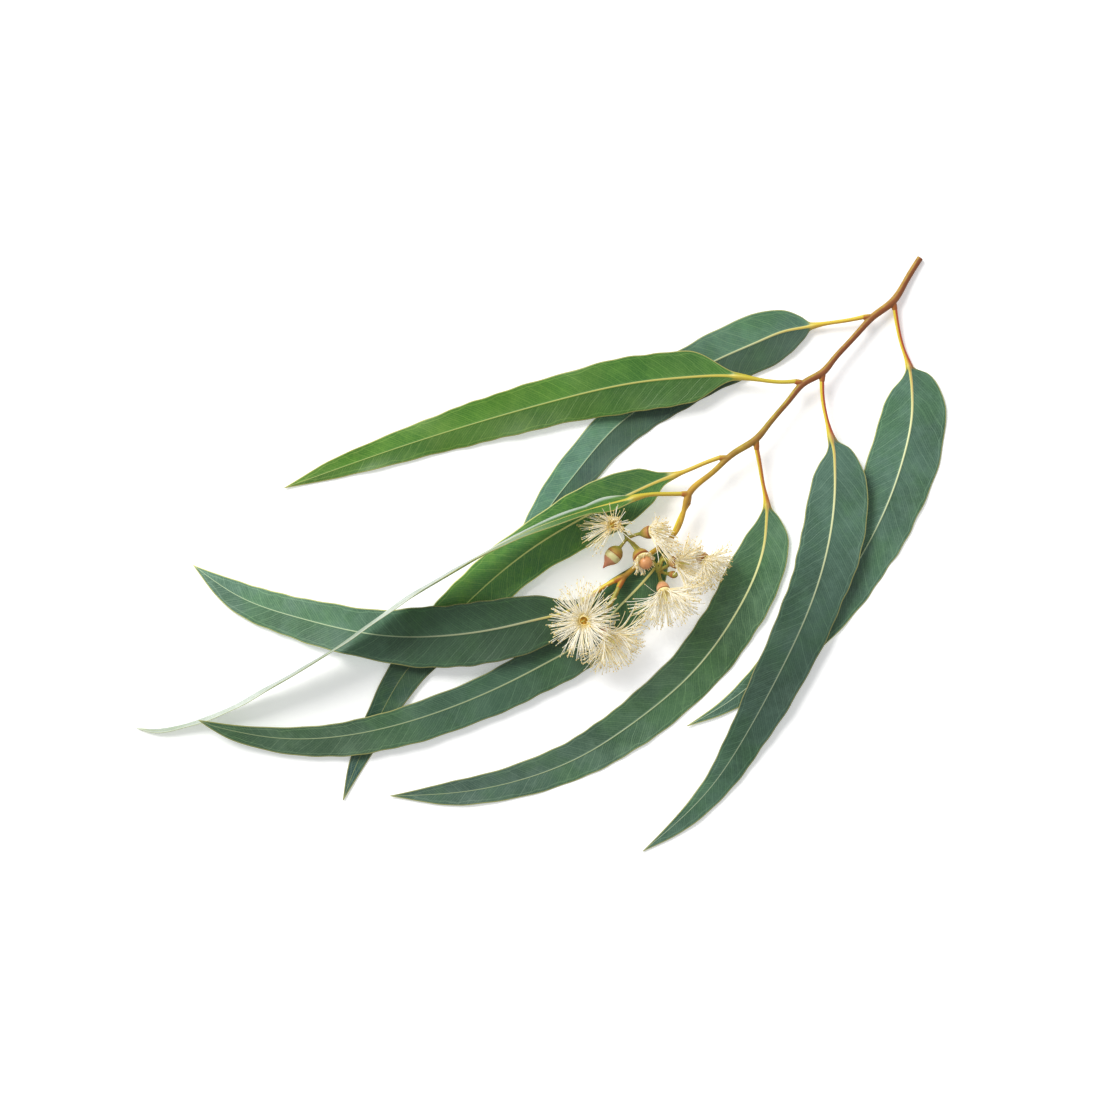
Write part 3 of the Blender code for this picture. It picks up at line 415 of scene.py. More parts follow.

# Leaves, foot to tip. rows: x, y, height of the middle surface, half width left and right, in mm;
# light: share of the blade, then brightness painted for light and shade, then red and blue tint of the leaf;
# halves: painted light and shade on the left and right half;
# fold and wave: rise of the halves and of their edges; roll: share of the leaf and turn in degrees
leaves = {
    "leaf_1": {
        "shade": "teal", "slot": "leaf_teal", "phase": 0.4, "wave": 0.35, "fold": -0.02, "blush": 1.0,
        "light": [
            (0, 1.45, 1, 1), (0.3, 1.27, 1, 1), (0.6, 1.5, 1.02, 0.97), (1, 1.25, 1, 1),
        ],
        "halves": (0.94, 1.1),
        "rows": [
            (123.2, 86.0, 2.6, 0.85, 0.85), (124.4, 79.0, 2.0, 0.75, 0.75), (126.2, 72.0, 1.4, 0.7, 0.7),
            (128.5, 65.1, 1.0, 1.6, 1.3), (128.9, 62.5, 0.9, 6.0, 2.7), (129.2, 60.2, 0.8, 8.1, 4.9),
            (129.4, 57.4, 0.7, 9.7, 7.4), (129.5, 50.4, 0.5, 12.0, 10.6), (126.7, 34.6, 0.3, 12.5, 11.8),
            (119.7, 14.7, 0.15, 11.4, 12.2), (110.2, -3.1, 0.15, 10.2, 12.0), (97.3, -21.7, 0.3, 8.6, 9.6),
            (79.8, -39.9, 0.45, 5.8, 5.0), (63.0, -53.2, 0.6, 3.0, 1.7), (50.7, -60.2, 0.9, 0.4, 0.4),
        ],
    },
    "leaf_2": {
        "shade": "teal", "slot": "leaf_teal", "phase": 2.0, "wave": 0.35, "fold": -0.03, "blush": 1.0,
        "light": [
            (0, 1.3, 1, 1), (0.2, 1.17, 0.98, 1), (0.42, 0.66, 0.92, 0.98), (0.6, 0.66, 0.92, 0.98),
            (0.85, 1.02, 0.9, 0.88), (1, 1, 0.95, 0.95),
        ],
        "halves": (0.98, 1.04),
        "rows": [
            (97.6, 60.8, 5.7, 0.85, 0.85), (97.8, 55.1, 5.5, 0.75, 0.75), (99.0, 48.1, 5.3, 0.7, 0.7),
            (101.2, 39.0, 5.1, 2.2, 1.4), (101.8, 35.9, 5.1, 6.0, 2.6), (102.1, 31.4, 5.05, 8.9, 5.6),
            (102.2, 25.8, 5.0, 11.0, 8.0), (100.8, 8.4, 4.8, 12.1, 10.0), (94.6, -15.4, 4.4, 10.2, 9.6),
            (83.1, -41.2, 3.8, 9.1, 8.6), (70.6, -64.3, 2.4, 7.2, 6.1), (59.1, -81.5, 1.2, 5.8, 3.5),
            (46.5, -94.5, 0.6, 3.7, 1.6), (35.3, -104.0, 0.5, 0.4, 0.4),
        ],
    },
    "leaf_3": {
        "shade": "moss", "slot": "leaf_teal", "phase": 3.1, "wave": 0.35, "fold": 0.0, "blush": 0.8,
        "light": [
            (0, 1.45, 0.95, 1), (0.15, 1.37, 0.94, 0.95), (0.3, 0.95, 0.92, 0.78), (0.5, 1.12, 1, 1.1),
            (0.8, 1, 1.1, 1.35), (1, 1.05, 1.1, 1.35),
        ],
        "halves": (1.1, 0.95),
        "rows": [
            (74.7, 37.0, 7.2, 0.85, 0.85), (76.0, 30.7, 5.6, 0.75, 0.75), (77.3, 23.7, 3.8, 0.7, 0.7),
            (78.6, 16.4, 2.4, 1.6, 1.4), (78.5, 12.9, 2.0, 4.6, 2.7), (77.9, 4.9, 1.3, 8.5, 7.2),
            (73.8, -9.1, 0.8, 9.5, 10.2), (67.5, -21.3, 0.5, 9.4, 9.9), (53.5, -40.6, 0.25, 8.8, 9.3),
            (34.3, -57.4, 0.15, 8.4, 8.1), (13.3, -71.0, 0.15, 7.1, 6.9), (-7.7, -79.1, 0.3, 5.9, 5.8),
            (-28.7, -83.3, 0.5, 4.7, 4.4), (-53.1, -84.6, 1.0, 0.4, 0.4),
        ],
    },
    "leaf_4": {
        "shade": "greyBlue", "slot": "leaf_grey_blue", "phase": 1.0, "wave": 0.25, "fold": 0.0, "blush": 0.5,
        "light": [
            (0, 0.95, 0.94, 0.85), (0.25, 0.92, 0.94, 0.82), (0.5, 1, 0.97, 0.9), (0.7, 1.4, 0.97, 0.95),
            (1, 1.3, 0.95, 1),
        ],
        "halves": (0.57, 1.18),
        "rows": [
            (112.7, 82.8, 4.2, 0.8, 0.8), (107.5, 81.7, 3.8, 0.7, 0.7), (100.6, 80.7, 3.2, 0.7, 0.7),
            (94.0, 79.6, 2.6, 1.2, 1.5), (91.2, 79.1, 2.3, 3.9, 4.0), (84.9, 77.9, 1.8, 8.1, 7.7),
            (76.2, 74.5, 1.2, 9.9, 9.8), (61.9, 68.2, 0.8, 10.0, 9.7), (41.3, 56.0, 0.35, 9.0, 8.6),
            (25.5, 44.1, 0.15, 8.0, 7.3), (10.5, 26.6, 0.15, 6.8, 6.9), (3.5, 17.5, 0.2, 6.3, 6.0),
            (-9.4, -5.6, 0.5, 4.0, 2.8), (-14.7, -15.0, 0.8, 0.4, 0.4),
        ],
    },
    "leaf_5": {
        "shade": "bright", "slot": "leaf_bright", "phase": 4.2, "wave": 0.5, "fold": 0.0, "blush": 0.3,
        "light": [
            (0, 0.95, 0.82, 1.15), (0.2, 0.95, 0.85, 1.1), (0.4, 1.05, 0.9, 0.75), (1, 1.27, 1.03, 1),
        ],
        "halves": (0.86, 1.2),
        "rows": [
            (88.8, 60.2, 6.8, 0.8, 0.8), (84.7, 59.9, 6.7, 0.7, 0.7), (77.7, 60.4, 6.4, 0.7, 0.7),
            (67.6, 61.9, 5.8, 1.5, 1.4), (51.6, 61.7, 4.9, 9.0, 9.2), (34.2, 60.0, 4.1, 10.2, 9.4),
            (6.3, 54.0, 2.7, 8.7, 8.6), (-21.7, 46.2, 1.4, 7.4, 7.6), (-49.7, 37.4, 0.7, 5.5, 5.6),
            (-70.7, 30.1, 0.5, 3.4, 4.0), (-90.2, 23.1, 0.8, 0.4, 0.4),
        ],
    },
    "leaf_6": {
        "shade": "green", "slot": "leaf_green", "phase": 5.0, "wave": 0.35, "fold": 0.0, "blush": 0.4,
        "light": [
            (0, 1.1, 0.95, 0.95), (0.3, 1.6, 0.97, 0.9), (0.5, 2, 1.02, 0.85), (0.58, 1.2, 1, 1),
            (0.64, 0.48, 0.9, 2), (0.8, 0.7, 1.1, 2.9), (1, 0.9, 1.1, 3),
        ],
        "halves": (1.05, 0.95),
        "rows": [
            (62.3, 33.7, 8.3, 0.8, 0.8), (56.8, 31.7, 8.1, 0.75, 0.75), (50.2, 28.9, 7.6, 0.75, 0.75),
            (42.5, 26.1, 7.0, 2.0, 2.6), (35.9, 23.3, 6.2, 6.4, 7.1), (20.3, 15.7, 4.6, 9.9, 9.9),
            (-0.7, 3.8, 3.3, 9.4, 8.7), (-21.7, -12.9, 2.3, 8.8, 8.4), (-39.1, -30.8, 1.6, 7.9, 7.1),
            (-49.7, -44.1, 1.1, 6.3, 5.7), (-57.4, -58.1, 0.7, 4.9, 4.6), (-65.1, -74.2, 0.45, 2.6, 2.7),
            (-69.6, -86.2, 0.7, 0.4, 0.4),
        ],
    },
    "leaf_7": {
        "shade": "bright", "slot": "leaf_bright", "phase": 0.0, "wave": 0.4, "fold": 0.0, "blush": 0.5,
        "pale": True,
        "light": [(0, 1.05, 0.9, 1), (1, 1.05, 0.9, 1)], "halves": (1.0, 1.0),
        "roll": [
            (0, 0), (0.06, 20), (0.16, 75), (0.3, 84), (0.42, 86.5), (0.62, 86), (0.75, 84), (0.84, 81),
            (0.92, 70), (1, 30),
        ],
        "rows": [
            (49.0, 20.9, 9.9, 0.8, 0.8), (42.8, 20.8, 10.7, 0.75, 0.75), (37.5, 20.6, 11.3, 0.75, 0.75),
            (32.0, 19.4, 12.0, 1.4, 1.4), (20.2, 16.3, 13.4, 5.6, 5.6), (6.3, 11.9, 14.8, 7.4, 7.4),
            (-10.8, 4.8, 16.0, 8.0, 8.0), (-31.4, -6.8, 16.8, 8.0, 8.0), (-48.7, -17.2, 16.4, 7.6, 7.6),
            (-73.1, -33.9, 13.4, 6.8, 6.8), (-94.3, -46.7, 8.6, 4.9, 4.9), (-112.0, -55.5, 3.9, 3.0, 3.0),
            (-126.4, -60.4, 2.0, 1.7, 1.7), (-135.3, -61.9, 1.2, 1.0, 1.0), (-141.7, -61.0, 0.7, 0.4, 0.4),
        ],
    },
    "leaf_8": {
        "shade": "teal", "slot": "leaf_teal", "phase": 2.6, "wave": 0.35, "fold": 0.0, "blush": 0.6,
        "light": [
            (0, 0.5, 0.7, 0.45), (0.22, 0.6, 0.75, 0.62), (0.42, 0.85, 0.82, 0.7), (0.49, 1.4, 0.97, 0.88),
            (0.62, 1.5, 1.06, 0.95), (1, 2, 1.08, 1),
        ],
        "halves": (0.9, 1.1),
        "rows": [
            (25.6, -9.1, 7.7, 0.85, 0.85), (22.0, -11.1, 7.8, 0.8, 0.8), (17.4, -14.3, 7.7, 0.8, 0.8),
            (11.2, -18.8, 7.4, 3.4, 3.2), (-0.7, -22.6, 7.0, 9.6, 8.4), (-14.6, -25.8, 6.6, 11.4, 10.3),
            (-35.5, -28.6, 6.0, 11.2, 10.6), (-56.5, -28.3, 4.9, 9.1, 9.0), (-84.5, -22.4, 2.5, 7.6, 7.2),
            (-105.6, -15.0, 1.0, 5.6, 5.3), (-122.0, -3.9, 0.7, 0.4, 0.4),
        ],
    },
    "leaf_9": {
        "shade": "moss", "slot": "leaf_teal", "phase": 0.9, "wave": 0.25, "fold": 0.0, "blush": 0.5,
        "light": [
            (0, 1.25, 0.85, 0.7), (0.25, 0.72, 0.76, 0.85), (0.5, 0.9, 0.88, 1.1), (0.75, 0.98, 1.02, 1),
            (1, 1, 1, 1),
        ],
        "halves": (0.98, 1.02),
        "rows": [
            (51.2, 17.9, 7.8, 0.8, 0.8), (48.8, 13.9, 6.6, 0.75, 0.75), (46.4, 8.4, 5.4, 0.75, 0.75),
            (43.4, 1.6, 4.6, 1.6, 1.7), (37.7, -7.0, 4.0, 6.3, 6.0), (27.2, -18.2, 3.6, 9.4, 9.2),
            (16.8, -28.6, 3.1, 9.2, 9.6), (2.8, -37.4, 2.8, 9.0, 8.2), (-11.2, -44.7, 2.8, 8.7, 6.6),
            (-39.1, -56.2, 3.0, 8.1, 5.9), (-67.1, -63.2, 2.8, 7.3, 4.9), (-95.0, -64.0, 2.9, 4.8, 3.6),
            (-107.3, -61.8, 4.3, 3.4, 2.2), (-114.2, -60.0, 5.6, 1.6, 1.4), (-119.6, -57.9, 6.8, 0.4, 0.4),
        ],
    },
}
leafBuild = {
    "stalkStations": 22, "bladeStations": 190, "columns": 41, "halfThick": 0.2, "edgeThick": 0.09,
    "ribTop": 0.17, "ribBelow": 0.26, "ribWide": 0.68, "ribNarrow": 0.1, "edgeRise": 0.035, "tipHalf": 0.13,
    "edgeWobble": 0.014, "paleBelow": 0.35,
}
blushWay = unit([0.75, -0.62, 0.0])  # the side of stalks and twig that has reddened


def leafShape(leaf):
    # A round stalk that flattens into a blade. At each station the ring runs over the upper face from
    # one margin to the other and back below; height = middle ± half thickness ± rib · exp(-(x/w)²).
    build = leafBuild
    rows = np.array(leaf["rows"], float)
    rows[-1, 3:] = build["tipHalf"]
    knots = shares(rows[:, :3])
    bladeFrom = knots[3]
    near = np.linspace(0.0, bladeFrom, build["stalkStations"])[:-1]
    far = np.linspace(bladeFrom, 1.0, build["bladeStations"])
    t = np.concatenate([near, far])
    centre = bendCurve(knots, rows[:, :3], t)
    left = steadyCurve(knots, rows[:, 3], t)
    right = steadyCurve(knots, rows[:, 4], t)
    tangent = unit(np.gradient(centre, axis=0))
    side = unit(np.cross(np.array([0.0, 0.0, 1.0]), tangent))
    up = np.cross(tangent, side)
    roll = np.array(leaf.get("roll", [(0.0, 0.0), (1.0, 0.0)]))
    angle = np.radians(np.interp(t, roll[:, 0], roll[:, 1]))
    side, up = turned(side, tangent, angle), turned(up, tangent, angle)

    length = np.concatenate([[0.0], np.cumsum(np.linalg.norm(np.diff(centre, axis=0), axis=1))])
    along = length - np.interp(bladeFrom, t, length)
    share = np.clip((t - bladeFrom) / (1.0 - bladeFrom), 0.0, 1.0)
    wide = 0.5 * (left + right)
    flat = smoothStep(1.25, 2.85, wide / rows[1, 3])
    flat = np.where(t > 0.6, 1.0, flat)
    fade = np.clip(share * 5.0, 0.0, 1.0) * np.clip((1.0 - share) * 6.0, 0.0, 1.0)
    phase = leaf["phase"]

    s = np.linspace(-1.0, 1.0, build["columns"])
    c = np.sign(s) * (1.0 - (1.0 - np.abs(s) ** 1.6) ** 1.3)
    isLeft = (c > 0)[None, :]
    turns = along[:, None] + 3.0 * np.sin(along[:, None] / 11.0 + phase)
    nibble = np.sin(turns / 1.7 + phase + 2.0 * isLeft) + np.sin(turns / 4.1 + 2.3 * phase - 1.0 * isLeft)
    nibble = build["edgeWobble"] * nibble
    reach = np.where(isLeft, left[:, None], right[:, None]) * (1.0 + nibble * fade[:, None])
    bladeX = c[None, :] * reach
    ribHalf = np.minimum(build["ribWide"] + (build["ribNarrow"] - build["ribWide"]) * share**0.45, 0.45 * wide)
    ribHalf = np.maximum(ribHalf, 0.06)[:, None]
    ribShape = np.exp(-1.3 * (bladeX / ribHalf) ** 2)
    swing = np.sin(6.0 * math.pi * share[:, None] + phase + 1.3 * isLeft)
    small = np.sin(19.0 * math.pi * share[:, None] + 2.0 * phase + 2.1 * isLeft)
    lift = build["edgeRise"] * reach * c**2 + (leaf["wave"] * swing + 0.12 * small) * c**2 * fade[:, None]
    lift = lift + leaf["fold"] * np.abs(bladeX) * fade[:, None]
    rounding = np.sqrt(np.clip(1.0 - np.abs(c) ** 14, 0.0, 1.0))
    half = build["edgeThick"] + (build["halfThick"] - build["edgeThick"]) * rounding[None, :]
    half = np.minimum(half, 0.7 * wide[:, None])
    down = 1.0 - 0.75 * share[:, None]
    bladeTop = half + build["ribTop"] * down * ribShape
    bladeBelow = half + build["ribBelow"] * down * ribShape

    turn = s * math.radians(84.0)
    roundX = wide[:, None] * np.sin(turn)
    roundZ = wide[:, None] * np.cos(turn)
    f = flat[:, None]
    x = f * bladeX + (1.0 - f) * roundX
    topZ = f * (lift + bladeTop) + (1.0 - f) * roundZ
    belowZ = f * (lift - bladeBelow) - (1.0 - f) * roundZ

    def lay(height):
        return centre[:, None] + side[:, None] * x[:, :, None] + up[:, None] * height[:, :, None]

    def bothFaces(grid, belowShare=1.0):
        return np.concatenate([grid, belowShare * grid[:, ::-1]], axis=1).reshape(-1)

    def roundRing(line):
        return np.repeat(line, count)

    top, below = lay(topZ), lay(belowZ)
    sunk = np.maximum(0.0, 0.02 - np.minimum(below[:, :, 2], top[:, :, 2]))
    top[:, :, 2] += sunk
    below[:, :, 2] += sunk
    ring = np.concatenate([top, below[:, ::-1]], axis=1)
    rings, count = ring.shape[:2]
    outward = unit(ring - centre[:, None])
    columns = build["columns"]
    quads = gridQuads(rings, count)[:, ::-1]
    j = np.arange(columns - 1)
    last = (rings - 1) * count
    footCap = np.stack([j, j + 1, count - 2 - j, count - 1 - j], axis=1)
    tipCap = footCap[:, ::-1] + last
    upper = np.zeros((rings, count))
    upper[:, :columns] = 1.0
    blush = smoothStep(-0.3, 0.3, outward.reshape(-1, 3) @ blushWay) * leaf["blush"]
    # painted light and shade along the blade and on the two halves; red and blue tint the leaf's own colour
    lightAt = np.array(leaf["light"])
    light, red, blue = [np.interp(share, lightAt[:, 0], lightAt[:, k]) for k in (1, 2, 3)]
    leftLight, rightLight = leaf["halves"]
    halves = rightLight + (leftLight - rightLight) * smoothStep(-0.04, 0.04, c)[None, :]
    pale = np.zeros((rings, columns))
    if "pale" in leaf:  # pale wax bloom with a painted grazing sheen, which starts on one half and then covers the whole blade
        edge = np.interp(share, [0.0, 0.04, 0.2, 0.42, 1.0], [1.1, 0.72, 0.55, -1.4, -1.4])[:, None]
        pale = smoothStep(-0.2, 0.2, -c[None, :] - edge)
    return shape(
        ring, np.concatenate([quads, footCap, tipCap]),
        across=bothFaces(x), along=roundRing(along), margin=bothFaces((1.0 - np.abs(c)) * reach),
        rib=bothFaces(np.abs(bladeX) / ribHalf), light=bothFaces(light[:, None] * halves),
        red=roundRing(red), blue=roundRing(blue), pale=bothFaces(pale, build["paleBelow"]),
        share=roundRing(share), stalk=roundRing(1.0 - flat), blush=blush * roundRing(1.0 - 0.5 * flat),
        upper=upper.reshape(-1),
    )


leafShapes = {name: leafShape(leaf) for name, leaf in leaves.items()}
for name, leaf in leaves.items():
    mesh = meshOf("fine_" + name, leafShapes[name])
    addPiece("fine_" + name, mesh, leafFinish[leaf["shade"]], name)
print("stage 3: leaves")


# Twig, cushions and flower stalks, melted into one skin

def melted(name, parts, voxel, rounds):
    # Overlapping closed parts become one skin: a voxel remesh, then that many rounds of smoothing.
    whole = joined(parts)
    whole["marks"] = {}
    rough = bpy.data.objects.new(name + "_rough", meshOf(name, whole))
    bpy.context.scene.collection.objects.link(rough)
    remesh = rough.modifiers.new("melt", "REMESH")
    remesh.mode = "VOXEL"
    remesh.voxel_size = voxel * mm
    soften = rough.modifiers.new("soften", "SMOOTH")
    soften.factor = 0.5
    soften.iterations = rounds
    graph = bpy.context.evaluated_depsgraph_get()
    mesh = bpy.data.meshes.new_from_object(rough.evaluated_get(graph))
    bpy.data.objects.remove(rough, do_unlink=True)
    mesh.name = name
    mesh.shade_smooth()
    count = len(mesh.vertices)
    spots, normals = np.empty(count * 3), np.empty(count * 3)
    mesh.vertices.foreach_get("co", spots)
    mesh.vertex_normals.foreach_get("vector", normals)
    return mesh, spots.reshape(-1, 3) / mm - centreShift, normals.reshape(-1, 3)


def setMark(mesh, key, values):
    # One number for each point of the mesh.
    mesh.attributes.new(key, "FLOAT", "POINT").data.foreach_set("value", values.astype(np.float32))


twig = {
    "voxel": 0.17,
    "rounds": 3,
    "rows": [  # x, y, z of the middle line and radius in mm, from the cut end to the fork
        (132.3, 103.6, 1.15, 1.1), (127.2, 95.4, 1.9, 1.1), (122.6, 88.3, 2.9, 1.35), (115.4, 82.7, 4.1, 1.25),
        (111.5, 78.6, 4.5, 1.1), (106.4, 73.0, 5.1, 1.05), (101.6, 67.7, 5.7, 1.1), (97.9, 63.4, 6.1, 1.3),
        (91.1, 59.4, 6.6, 1.2), (86.8, 54.5, 7.0, 1.05), (82.3, 49.2, 7.3, 1.0), (78.4, 44.5, 7.6, 1.05),
        (74.5, 40.0, 7.8, 1.25), (66.7, 35.0, 8.2, 1.15), (62.4, 31.2, 8.5, 1.0), (58.8, 27.9, 8.8, 0.95),
        (51.1, 20.8, 9.4, 1.15), (49.4, 15.3, 9.6, 0.85), (46.6, 7.6, 9.3, 0.8), (42.4, 3.5, 8.6, 0.8),
        (37.6, 0.0, 7.8, 0.85), (32.0, -4.9, 7.5, 0.85), (28.6, -7.9, 7.6, 1.0),
    ],
    "cushions": {  # leaf: (row of the twig that it grows from, share of the way to the next row)
        "leaf_1": (2, 0.0), "leaf_2": (7, 0.0), "leaf_3": (12, 0.0), "leaf_4": (3, 0.0), "leaf_5": (8, 0.0),
        "leaf_6": (13, 0.45), "leaf_7": (16, 0.0), "leaf_8": (21, 0.96), "leaf_9": (16, 0.0),
    },
    "scar": [(50.9, 20.6, 9.4, 0.85), (49.7, 18.6, 8.9, 0.6), (49.5, 18.1, 8.8, 0.3)],
}
umbels = {
    "umbel_a": {
        "stem": [(36.4, -0.6, 9.6, 0.7), (34.0, 1.5, 9.7, 0.7), (30.8, 4.4, 10.3, 0.75), (29.7, 5.6, 11.0, 0.95)],
        "grows": (37.4, -0.2, 7.8), "flowers": ("stamens_1", "stamens_2"), "buds": ("pointed", "opening"),
    },
    "umbel_b": {
        "stem": [(38.2, -2.0, 7.9, 0.65), (39.4, -3.8, 8.7, 0.65), (40.5, -5.8, 9.4, 0.9)],
        "grows": (37.2, -0.3, 7.7), "flowers": ("stamens_3", "stamens_4", "stamens_5"), "buds": ("small",),
    },
    "umbel_c": {
        "stem": [(26.9, -11.1, 8.0, 0.85), (25.6, -14.0, 8.5, 0.8), (22.5, -19.6, 9.2, 0.95)],
        "grows": (28.8, -7.8, 7.6), "flowers": ("stamens_6", "stamens_7"), "buds": (),
    },
}
flowers = {
    # rim: middle of the rim; way: facing; reach: stamen length in mm; open: share of the full spread;
    # long: side with the longer stamens and by how much; endwise: longer on the far side too;
    # inner: share of short ones; bald: side with few, from baldFrom on; rows: depth of the band of threads;
    # aim: where they lean, if not along way; gold, peach, heart: colour of anthers, cup and middle
    "stamens_1": {
        "rim": (25.2, 10.3, 14.4), "way": (-0.30, -0.15, 0.94), "reach": 7.7, "open": 1.0, "count": 290,
        "long": (-0.85, -0.5, 0.36), "inner": 0.5, "bald": (0.3, -0.95, 0.0), "baldFrom": 0.8, "gold": 0.15,
        "peach": 0.0, "heart": 0.9,
    },
    "stamens_2": {
        "rim": (37.6, 7.6, 13.1), "way": (0.86, 0.16, 0.38), "reach": 8.6, "open": 0.6, "count": 210,
        "long": (0.1, -1.0, 0.3), "inner": 0.1, "aim": (0.9, -0.32, 0.32), "gold": 0.1, "peach": 0.1, "heart": 0.0,
    },
    "stamens_3": {
        "rim": (46.9, -2.9, 12.3), "way": (0.86, -0.16, 0.46), "reach": 9.5, "open": 0.8, "count": 290,
        "long": (0.3, -1.0, 0.12), "inner": 0.12, "bald": (-0.95, -0.2, 0.2), "baldFrom": 0.45, "gold": 0.2,
        "peach": 0.5, "heart": 0.2,
    },
    "stamens_4": {
        "rim": (56.4, -2.0, 8.3), "way": (0.72, -0.62, 0.31), "reach": 8.7, "open": 0.78, "count": 260,
        "long": (0.3, -1.0, 0.15), "inner": 0.1, "gold": 0.05, "peach": 0.3, "heart": 0.2,
    },
    "stamens_5": {
        "rim": (42.2, -12.5, 12.3), "way": (0.22, -0.78, 0.58), "reach": 11.6, "open": 0.92, "count": 450,
        "long": (0.9, -0.4, 0.06), "inner": 0.15, "bald": (-0.35, 0.94, 0.3), "baldFrom": 0.28, "gold": 0.0,
        "peach": 1.0, "heart": 0.3,
    },
    "stamens_6": {
        "rim": (14.8, -23.0, 13.2), "way": (-0.20, -0.08, 0.97), "reach": 8.8, "open": 1.0, "count": 330,
        "rows": 0.6, "endwise": True,
        "long": (0.15, 1.0, 0.32), "inner": 0.16, "gold": 0.0, "peach": 0.0, "heart": 1.0,
    },
    "stamens_7": {
        "rim": (22.6, -28.0, 11.7), "way": (0.52, -0.62, 0.58), "reach": 11.3, "open": 0.95, "count": 380,
        "long": (0.8, -0.6, 0.08), "inner": 0.15, "bald": (-0.62, 0.78, 0.35), "baldFrom": 0.28, "gold": 0.3,
        "peach": 1.0, "heart": 0.3,
    },
}
cup = {"length": 4.0, "rim": 2.35, "dish": 1.7, "deep": 0.65}
buds = {  # where the cup starts, way it points, cup length and widest radius in mm
    "pointed": {"base": (27.2, 2.4, 11.2), "way": (-0.62, -0.76, 0.10), "length": 3.4, "radius": 3.0},
    "opening": {"base": (32.9, 1.2, 12.4), "way": (0.42, -0.62, 0.66), "length": 4.2, "radius": 3.2},
    "small": {"base": (43.9, -6.9, 10.0), "way": (0.62, -0.10, 0.75), "length": 3.0, "radius": 1.35},
}


def cupBase(flower):
    # The rim's middle less the cup's length along its axis.
    return np.array(flower["rim"]) - unit(flower["way"]) * cup["length"]


def cushionStem(foot, way, start, low, high):
    # A short sleeve from the twig's middle line to just past the stalk's foot.
    end = np.array(foot, float) + unit(way) * 0.7
    middle = 0.5 * (np.array(start) + end)
    return stem([(*start, low), (*middle, 0.5 * (low + high) + 0.05), (*end, high)], 24, 12)


def flowerStalk(start, base, way, radius=0.6):
    # A stalk that leaves the bunch's middle and meets the cup along its axis.
    start, base, way = np.array(start, float), np.array(base, float), unit(way)
    before = base - way * 1.6
    middle = 0.5 * (start + before)
    rows = [(*start, radius + 0.12), (*middle, radius), (*before, radius), (*(base + way * 0.5), radius + 0.12)]
    return stem(rows, 24, 24)


def cupShape(flower):
    # A goblet: narrow foot, swelling sides, thin rim and a shallow dish.
    long, rim, dish, deep = cup["length"], cup["rim"], cup["dish"], cup["deep"]
    profile = [(0.0, 0.0), (0.0, 0.7), (0.9, 1.3), (2.2, 2.05), (3.4, 2.32), (long - 0.1, rim), (long, rim - 0.12)]
    profile += [(long, dish + 0.05), (long - 0.15, dish), (long - deep, dish - 0.2), (long - deep, 0.0)]
    return turnedShape(cupBase(flower), flower["way"], profile, 40)


def budCup(bud):
    # A cup that widens smoothly from its stalk to the line where the cap sits.
    long, wide = bud["length"], bud["radius"]
    profile = [(0.0, 0.0), (0.0, 0.7), (0.25 * long, 0.64 * wide), (0.6 * long, 0.9 * wide)]
    profile += [(0.97 * long, wide), (long, 0.97 * wide), (long, 0.0)]
    return turnedShape(bud["base"], bud["way"], profile, 40)


def budKnob(bud):
    # A small closed bud: its cap is a blunt point.
    profile = [(0.0, 0.0), (0.0, 1.3), (0.6, 1.2), (1.3, 0.75), (1.9, 0.2), (2.0, 0.0)]
    top = np.array(bud["base"]) + unit(bud["way"]) * bud["length"]
    return turnedShape(top, bud["way"], profile, 32)


twigRows = np.array(twig["rows"])
twigParts = [stem(twig["rows"], 28, 420)]
for name, (row, step) in twig["cushions"].items():
    start = twigRows[row, :3] + step * (twigRows[row + 1, :3] - twigRows[row, :3])
    foot, then = np.array(leaves[name]["rows"][0]), np.array(leaves[name]["rows"][1])
    twigParts.append(cushionStem(foot[:3], then[:3] - foot[:3], start, 1.1, foot[3] + 0.1))
for bunch in umbels.values():
    foot, then = np.array(bunch["stem"][0]), np.array(bunch["stem"][1])
    twigParts.append(cushionStem(foot[:3], then[:3] - foot[:3], bunch["grows"], foot[3] + 0.1, foot[3] + 0.04))
twigParts.append(stem(twig["scar"], 20, 8))
twigMesh, twigSpots, twigNormals = melted("fine_twig", twigParts, twig["voxel"], twig["rounds"])


def nearest(spots, line):
    # Share along the line of the sample that is nearest to each spot.
    best = np.full(len(spots), np.inf)
    found = np.zeros(len(spots))
    for i, sample in enumerate(line):
        gap = np.sum((spots - sample) ** 2, axis=1)
        closer = gap < best
        best[closer] = gap[closer]
        found[closer] = i / (len(line) - 1)
    return found, np.sqrt(best)


twigLine = bendCurve(shares(twigRows[:, :3]), twigRows[:, :3], np.linspace(0.0, 1.0, 160))
twigShare, twigGap = nearest(twigSpots, twigLine)
cutEnd = smoothStep(0.93, 0.99, twigNormals @ unit(twigLine[0] - twigLine[1])) * (twigShare < 0.02)
knots = np.zeros(len(twigSpots))
for row, step in set(twig["cushions"].values()):
    spot = twigRows[row, :3] + step * (twigRows[row + 1, :3] - twigRows[row, :3])
    knots = np.maximum(knots, np.exp(-np.sum((twigSpots - spot) ** 2, axis=1) / 3.2**2))
setMark(twigMesh, "blush", smoothStep(-0.75, 0.1, twigNormals @ blushWay))
setMark(twigMesh, "share", twigShare)
setMark(twigMesh, "cut", cutEnd)
setMark(twigMesh, "knot", knots)
setMark(twigMesh, "away", smoothStep(1.0, 2.2, twigGap))


barkTones = {  # pale and dark, from the cut end to the fork
    "tan": ("#ae8a3a", "#98722f"), "olive": ("#b29a36", "#9c882e"), "yellow": ("#c9a631", "#ae902e"),
}


